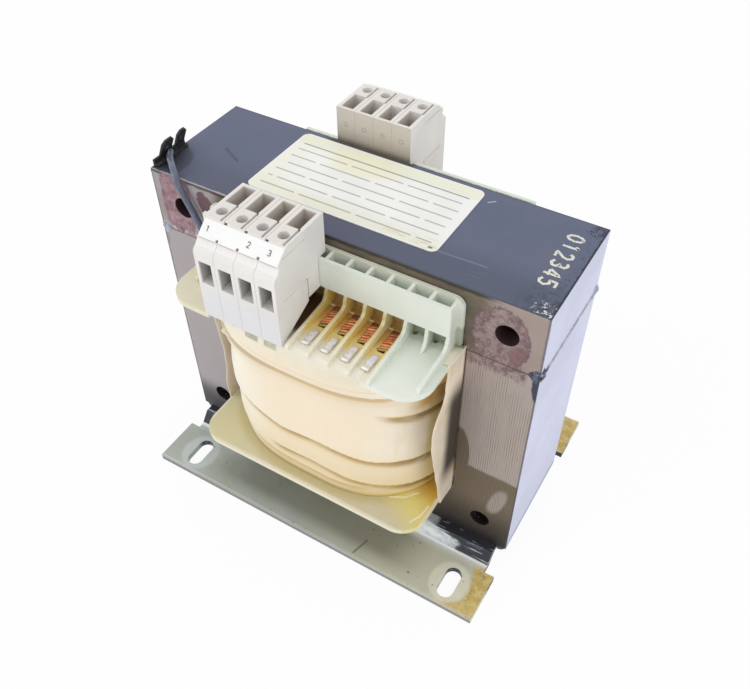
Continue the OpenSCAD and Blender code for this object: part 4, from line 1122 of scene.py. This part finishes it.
def build_sheet(node):
    """Pressboard beside the coil: a wavy flap, and tabs folded flat onto the deck."""
    low, high = span(node)
    side = 1 if high.x > 0 else -1
    inner, outer = (low.x, high.x) if side > 0 else (-high.x, -low.x)
    flap = RIGHT_FLAP if side > 0 else LEFT_FLAP
    rows, across = 90, 10

    def spot(face, skin, j, share):
        """A place on the outer skin 0 or the inner skin 1, in a row, at a share of the flap's reach."""
        depth = j / rows * 1.03
        z = SHEET_TOP - depth * SHEET_DROP
        out = FACE_Y + 0.25 + (flap_reach(flap, depth) - 0.25) * share
        sway = 0.35 * ripple(out, z, 0, 8, 2.0 * face) * share
        return (side * (outer - SHEET_THICK * skin + sway - 0.3 * share), face * out, z)

    def build(shape):
        for face in (-1, 1):
            for skin in (0, 1):
                grid(shape, [
                    [spot(face, skin, j, i / across) for i in range(across + 1)]
                    for j in range(rows + 1)
                ])
            grid(shape, [[spot(face, skin, j, 1) for skin in (0, 1)] for j in range(rows + 1)])
        tab = [
            (inner - 2.2, TAB_START + 8.0), (inner - 0.4, TAB_START + 0.6), (outer - 0.35, TAB_START),
            (outer - 0.05, TAB_START + 0.4), (outer - 0.1, TAB_START + 9.0), (inner - 1.2, TAB_START + 8.8)
        ]
        base = DECK_Z + 0.12
        for face in (-1, 1):
            lower = [shape.verts.new((side * x, face * y, base)) for x, y in tab]
            lifts = [0.62 + 0.1 * (y > TAB_START + 4) for _, y in tab]
            upper = [shape.verts.new((side * x, face * y, base + lift)) for (x, y), lift in zip(tab, lifts)]
            shape.faces.new(lower)
            shape.faces.new(upper)
            for k in range(len(tab)):
                m = (k + 1) % len(tab)
                shape.faces.new((lower[k], lower[m], upper[m], upper[k]))
        bmesh.ops.remove_doubles(shape, verts=shape.verts, dist=0.001)
    return build


def build_lead(shape):
    """The earth lead: from where it is crimped at the tab, over the edge and into the carrier."""
    route = [
        (2, -9, 2.4), (3.8, -6.6, 2.5), (6.2, -4.2, 2.6), (9.2, -1.7, 2.5), (12, 0.6, 1.6), (13.9, 1.9, -0.8),
        (15.5, 2.1, -3.9), (17.1, 2.1, -7.4), (18.8, 2.1, -11), (20.4, 2.3, -14.2), (22, 2.8, -16.4),
        (24.2, 3.6, -17), (26.2, 3.75, -16), (28, 3.75, -14.3), (29.6, 3.75, -13.2), (31.3, 3.75, -13.2)
    ]
    marks = [Vector((x - HALF_W, -FACE_Y - out, CORE_TOP + up)) for x, out, up in route]
    steps = 6
    points = []
    for i, (a, b) in enumerate(zip(marks, marks[1:])):
        before = marks[max(i - 1, 0)]
        after = marks[min(i + 2, len(marks) - 1)]
        for t in (k / steps for k in range(steps)):
            bend = 2 * before - 5 * a + 4 * b - after
            twist = 3 * a - before - 3 * b + after
            points.append(0.5 * (2 * a + (b - before) * t + bend * t * t + twist * t * t * t))
    points.append(marks[-1])
    tube(shape, points, 1.2, 24)


def draw_digit(shape, digit, width, tall, pen, place):
    """Draws one plain digit as ribbons of paint. place turns a flat point into a place on the part."""
    for index, line in enumerate(DIGITS[digit]):
        marks = [Vector((x * width, y * tall)) for x, y in line]
        dense = []
        for a, b in zip(marks, marks[1:]):
            dense += [a.lerp(b, k / 5) for k in range(5)]
        dense.append(marks[-1])
        left, right = [], []
        for i, point in enumerate(dense):
            run = (dense[min(i + 1, len(dense) - 1)] - dense[max(i - 1, 0)]).normalized()
            across = Vector((-run.y, run.x)) * pen / 2 * (1 + 0.25 * ripple(point.x, point.y, i, 0.6))
            left.append(place(point + across, 0.01 * index))
            right.append(place(point - across, 0.01 * index))
        grid(shape, [left, right])


def build_serial(shape):
    """Plain numbers painted along the right-hand end of the top, read from the back to the front."""
    for i, digit in enumerate("012345"):
        def place(point, lift, start=15.6 - i * 4.75, slip=0.3 * (i % 2)):
            return (64.4 + slip + point.y, start - point.x, CORE_TOP + 0.045 + lift)
        draw_digit(shape, digit, 3.0, 5.4, 0.95, place)


def build_numbers(side):
    """The terminals' numbers on the slope of the marker strip: 1, a bare place, 2 and 3."""
    def build(shape):
        low, high = span("marker_strip_front" if side < 0 else "marker_strip_rear")
        rise = Vector((0, -side * math.cos(STRIP_TILT), math.sin(STRIP_TILT)))
        out = Vector((0, side * math.sin(STRIP_TILT), math.cos(STRIP_TILT)))
        outer = high.y if side > 0 else low.y
        for pole_x, digit in zip(POLE_XS[::-side], "1 23"):
            def place(point, lift, pole_x=pole_x):
                start = Vector((pole_x + side * 0.75, outer, low.z + 0.6))
                return start + Vector((-side * point.x, 0, 0)) + rise * (point.y + 2.2) + out * (0.09 + lift)
            if digit != " ":
                draw_digit(shape, digit, 1.1, 1.8, 0.25, place)
    return build


def colour_field(name, description, *tone):
    """A colour of the panel, given by its screen values."""
    return FloatVectorProperty(
        name=name, description=description, subtype="COLOR", size=3, min=0, max=1, default=paint(*tone)[:3])


class CoreLook(PropertyGroup):
    top_colour: colour_field("Top paint", "Slate paint on top of the core", 97, 104, 128)
    side_colour: colour_field("End paint", "Pale paint on the core's ends", 211, 215, 236)
    front_colour: colour_field("Bare sheets", "Varnished sheets in front", 166, 151, 144)
    plate_colour: colour_field("Zinc", "Dull zinc on the feet", 188, 195, 192)
    line_pitch: FloatProperty(
        name="Line pitch", description="Distance between the fine lines on the limbs, in millimetres",
        min=0.5, max=3, default=0.87)
    slot_x: FloatProperty(
        name="Slot place across",
        description="Middle of a fixing slot from the middle of the core, in millimetres",
        default=61.5)
    slot_y: FloatProperty(
        name="Slot place out",
        description="Middle of a fixing slot from the core's middle plane, in millimetres",
        default=45.5)


class WindingLook(PropertyGroup):
    tape_colour: colour_field("Tape", "Varnished cloth tape", 251, 235, 207)
    nylon_colour: colour_field("Nylon", "Natural nylon of the former", 230, 237, 226)
    board_colour: colour_field("Pressboard", "Insulating board beside the coil", 232, 212, 184)
    edge_round: FloatProperty(
        name="Edge rounding", description="Radius of the former's moulded edges", unit="LENGTH",
        min=0, max=0.001, default=0.0003)


class TerminalLook(PropertyGroup):
    terminal_colour: colour_field("Terminals", "Light grey moulded plastic", 230, 228, 225)
    label_colour: colour_field("Label", "Printed film on the top", 247, 247, 243)
    lead_colour: colour_field("Earth lead", "Insulation of the earth lead", 84, 92, 112)
    edge_round: FloatProperty(
        name="Edge rounding", description="Radius of the terminals' moulded edges", unit="LENGTH",
        min=0, max=0.001, default=0.00035)


class StageLook(PropertyGroup):
    azimuth: FloatProperty(
        name="Azimuth", description="Camera's turn about the part",
        subtype="ANGLE", default=math.radians(30.532))
    elevation: FloatProperty(
        name="Elevation", description="Camera's height over the part",
        subtype="ANGLE", default=math.radians(46.191))
    distance: FloatProperty(
        name="Distance", description="From the camera to the point it looks at",
        unit="LENGTH", default=0.285906)
    lens: FloatProperty(name="Lens", description="Focal length in millimetres", default=39.793)
    key_power: FloatProperty(name="Key light", description="Power of the large light in watts", default=4.6)
    side_power: FloatProperty(
        name="Side light", description="Power of the light on the right in watts", default=1.8)
    fill: FloatProperty(name="Fill", description="Strength of the even light from all round", default=0.68)


class OBJECT_OT_transformer_stage(Operator):
    """Sets up the floor, the lights and the camera"""
    bl_idname = "object.transformer_stage"
    bl_label = "Stage"

    def execute(self, context):
        look = context.scene.transformer_stage_look
        self.add_floor()
        self.add_lights(look)
        self.add_camera(context, look)
        self.add_world(context, look)
        return {"FINISHED"}

    def add_floor(self):
        size, cells = 6.0, 8
        steps = [size * (i / cells - 0.5) for i in range(cells + 1)]
        shape = bmesh.new()
        grid(shape, [[(x, y, -0.0002) for x in steps] for y in steps])
        floor = show("floor", shape, floor_finish("floor_white", 0.94))

    def add_lights(self, look):
        aim = Vector((0, 0, 0.07))
        lamps = [
            ("key_light", Vector((-0.75, -0.9, 0.8)), 1.0, look.key_power),
            ("side_light", Vector((1.05, -0.35, 0.45)), 0.8, look.side_power),
            ("top_light", Vector((0.1, 0.3, 1.2)), 0.9, look.key_power * 0.3),
        ]
        for name, place, size, power in lamps:
            data = bpy.data.lights.new(name, "AREA")
            data.shape = "SQUARE"
            data.size = size
            data.energy = power
            lamp = bpy.data.objects.new(name, data)
            turn = (aim - place).to_track_quat("-Z", "Y").to_matrix().to_4x4()
            lamp.matrix_world = Matrix.Translation(place) @ turn
            bpy.context.scene.collection.objects.link(lamp)

    def add_camera(self, context, look):
        data = bpy.data.cameras.new("camera")
        data.sensor_width = 36
        data.lens = look.lens
        data.shift_x = -0.01318
        data.shift_y = 0.00851
        data.clip_start = 0.01
        camera = bpy.data.objects.new("camera", data)
        ahead = Vector((
            -math.sin(look.azimuth) * math.cos(look.elevation),
            math.cos(look.azimuth) * math.cos(look.elevation),
            -math.sin(look.elevation),
        ))
        target = Vector((0.01955, -0.023714, 0.090728))
        roll = Matrix.Rotation(math.radians(0.069), 4, "Z")
        turn = ahead.to_track_quat("-Z", "Y").to_matrix().to_4x4() @ roll
        camera.matrix_world = Matrix.Translation(target - ahead * look.distance) @ turn
        context.scene.collection.objects.link(camera)
        context.scene.camera = camera

    def add_world(self, context, look):
        world = bpy.data.worlds.new("studio")
        world.use_nodes = True
        context.scene.world = world
        nodes = world.node_tree.nodes
        links = world.node_tree.links
        back = nodes["Background"]
        bright = nodes.new("ShaderNodeBackground")
        for light, strength in ((back, look.fill), (bright, 1.0)):
            light.inputs["Color"].default_value = (1, 1, 1, 1)
            light.inputs["Strength"].default_value = strength
        rays = nodes.new("ShaderNodeLightPath")
        seen = rays.outputs["Is Camera Ray"]
        for other in ("Is Glossy Ray", "Is Transmission Ray"):
            either = nodes.new("ShaderNodeMath")
            either.operation = "MAXIMUM"
            links.new(seen, either.inputs[0])
            links.new(rays.outputs[other], either.inputs[1])
            seen = either.outputs[0]
        mix = nodes.new("ShaderNodeMixShader")
        for index, socket in enumerate((seen, back.outputs[0], bright.outputs[0])):
            links.new(socket, mix.inputs[index])
        links.new(mix.outputs[0], nodes["World Output"].inputs["Surface"])
        context.scene.view_settings.view_transform = "Standard"


class OBJECT_OT_transformer_core(Operator):
    """Finishes the welded core and its feet"""
    bl_idname = "object.transformer_core"
    bl_label = "Core and feet"

    def execute(self, context):
        look = context.scene.transformer_core_look
        bead = weld_finish()
        dress(("core_e_stack", "core_i_yoke"), lamination_finish(look), 0.22)
        dress(("foot_front", "foot_rear"), plated_finish(look), 0.3)
        dress(("foot_welds_front", "foot_welds_rear"), bead, 0.5)
        for name, mirror in (("weld_right", False), ("weld_left", True)):
            new_piece(name + "_bead", build_bead(mirror), bead, [name])
        return {"FINISHED"}


class OBJECT_OT_transformer_winding(Operator):
    """Finishes the former, the coil, its tape and its ends"""
    bl_idname = "object.transformer_winding"
    bl_label = "Coil and former"

    def execute(self, context):
        look = context.scene.transformer_winding_look
        tape = tape_finish(look)
        copper = copper_finish()
        tin = tin_finish()
        board = board_finish(look)
        moulded = (
            "former_tube", "former_lower_flange", "former_upper_flange", "carrier_front", "carrier_rear")
        dress(moulded, nylon_finish(look), look.edge_round / MM, 40)
        dress(("copper_winding",), copper)
        new_piece("wound_tape", build_wrap, tape, ["coil_wrap"])
        for side, sign in SIDES.items():
            cover = new_piece(
                "tape_cover_" + side, build_cover(sign), tape, ["lead_cover_" + side])
            thick = cover.modifiers.new("thick", "SOLIDIFY")
            thick.thickness = 0.25 * MM
            thick.offset = -1
            smooth = cover.modifiers.new("smooth", "SUBSURF")
            smooth.levels = 1
            smooth.render_levels = 1
            new_piece("strands_" + side, build_strands(sign), copper)
            new_piece("tinned_lugs_" + side, build_lugs(sign), tin, ["coil_lugs_" + side])
        for node in ("insulation_right", "insulation_left"):
            new_piece(node + "_board", build_sheet(node), board, [node])
        return {"FINISHED"}


class OBJECT_OT_transformer_terminals(Operator):
    """Finishes the terminals, their metal parts and their numbers"""
    bl_idname = "object.transformer_terminals"
    bl_label = "Terminals"

    def execute(self, context):
        look = context.scene.transformer_terminal_look
        plastic = terminal_finish(look)
        white = marker_finish()
        metal = clamp_finish()
        ink = print_finish("number_ink", (92, 96, 98), (140, 144, 144), 0.0)
        for side, sign in SIDES.items():
            dress(["%s_terminal_%d" % (side, i) for i in range(1, 5)], plastic, look.edge_round / MM, 30)
            dress(["marker_strip_" + side], white, 0.15)
            dress(["terminal_screws_" + side, "terminal_clamps_" + side], metal)
            new_piece("numbers_" + side, build_numbers(sign), ink, smooth=False)
        return {"FINISHED"}


class OBJECT_OT_transformer_details(Operator):
    """Finishes the label, the painted numbers, the earth tab and its lead"""
    bl_idname = "object.transformer_details"
    bl_label = "Label and earth"

    def execute(self, context):
        look = context.scene.transformer_terminal_look
        dress(["rating_label"], label_finish(look))
        dress(["earth_tab"], dark_steel_finish(), 0.06)
        new_piece("lead", build_lead, lead_finish(look), ["earth_lead"])
        chalk = print_finish("number_paint", (232, 232, 226), (206, 204, 160), 0.03)
        new_piece("painted_numbers", build_serial, chalk, smooth=False)
        return {"FINISHED"}


class VIEW3D_PT_transformer(Panel):
    """The part's operators and looks, in the sidebar"""
    bl_label = "Control Transformer"
    bl_idname = "VIEW3D_PT_transformer"
    bl_space_type = "VIEW_3D"
    bl_region_type = "UI"
    bl_category = "Transformer"

    def draw(self, context):
        layout = self.layout
        for operator in OPERATORS:
            layout.operator(operator.bl_idname)
        for name in LOOKS:
            look = getattr(context.scene, name)
            box = layout.box()
            for key in look.bl_rna.properties.keys():
                if key not in {"rna_type", "name"}:
                    box.prop(look, key)


LOOKS = {
    "transformer_stage_look": StageLook,
    "transformer_core_look": CoreLook,
    "transformer_winding_look": WindingLook,
    "transformer_terminal_look": TerminalLook,
}
OPERATORS = (
    OBJECT_OT_transformer_stage,
    OBJECT_OT_transformer_core,
    OBJECT_OT_transformer_winding,
    OBJECT_OT_transformer_terminals,
    OBJECT_OT_transformer_details,
)


def register():
    for cls in (*LOOKS.values(), *OPERATORS, VIEW3D_PT_transformer):
        bpy.utils.register_class(cls)
    for name, cls in LOOKS.items():
        setattr(bpy.types.Scene, name, PointerProperty(type=cls))


def unregister():
    for name in LOOKS:
        delattr(bpy.types.Scene, name)
    for cls in reversed((*LOOKS.values(), *OPERATORS, VIEW3D_PT_transformer)):
        bpy.utils.unregister_class(cls)


def main():
    """Registers the classes and makes every piece in order."""
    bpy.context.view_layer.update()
    register()
    for operator in OPERATORS:
        group, name = operator.bl_idname.split(".")
        getattr(getattr(bpy.ops, group), name)()


if __name__ == "__main__":
    main()
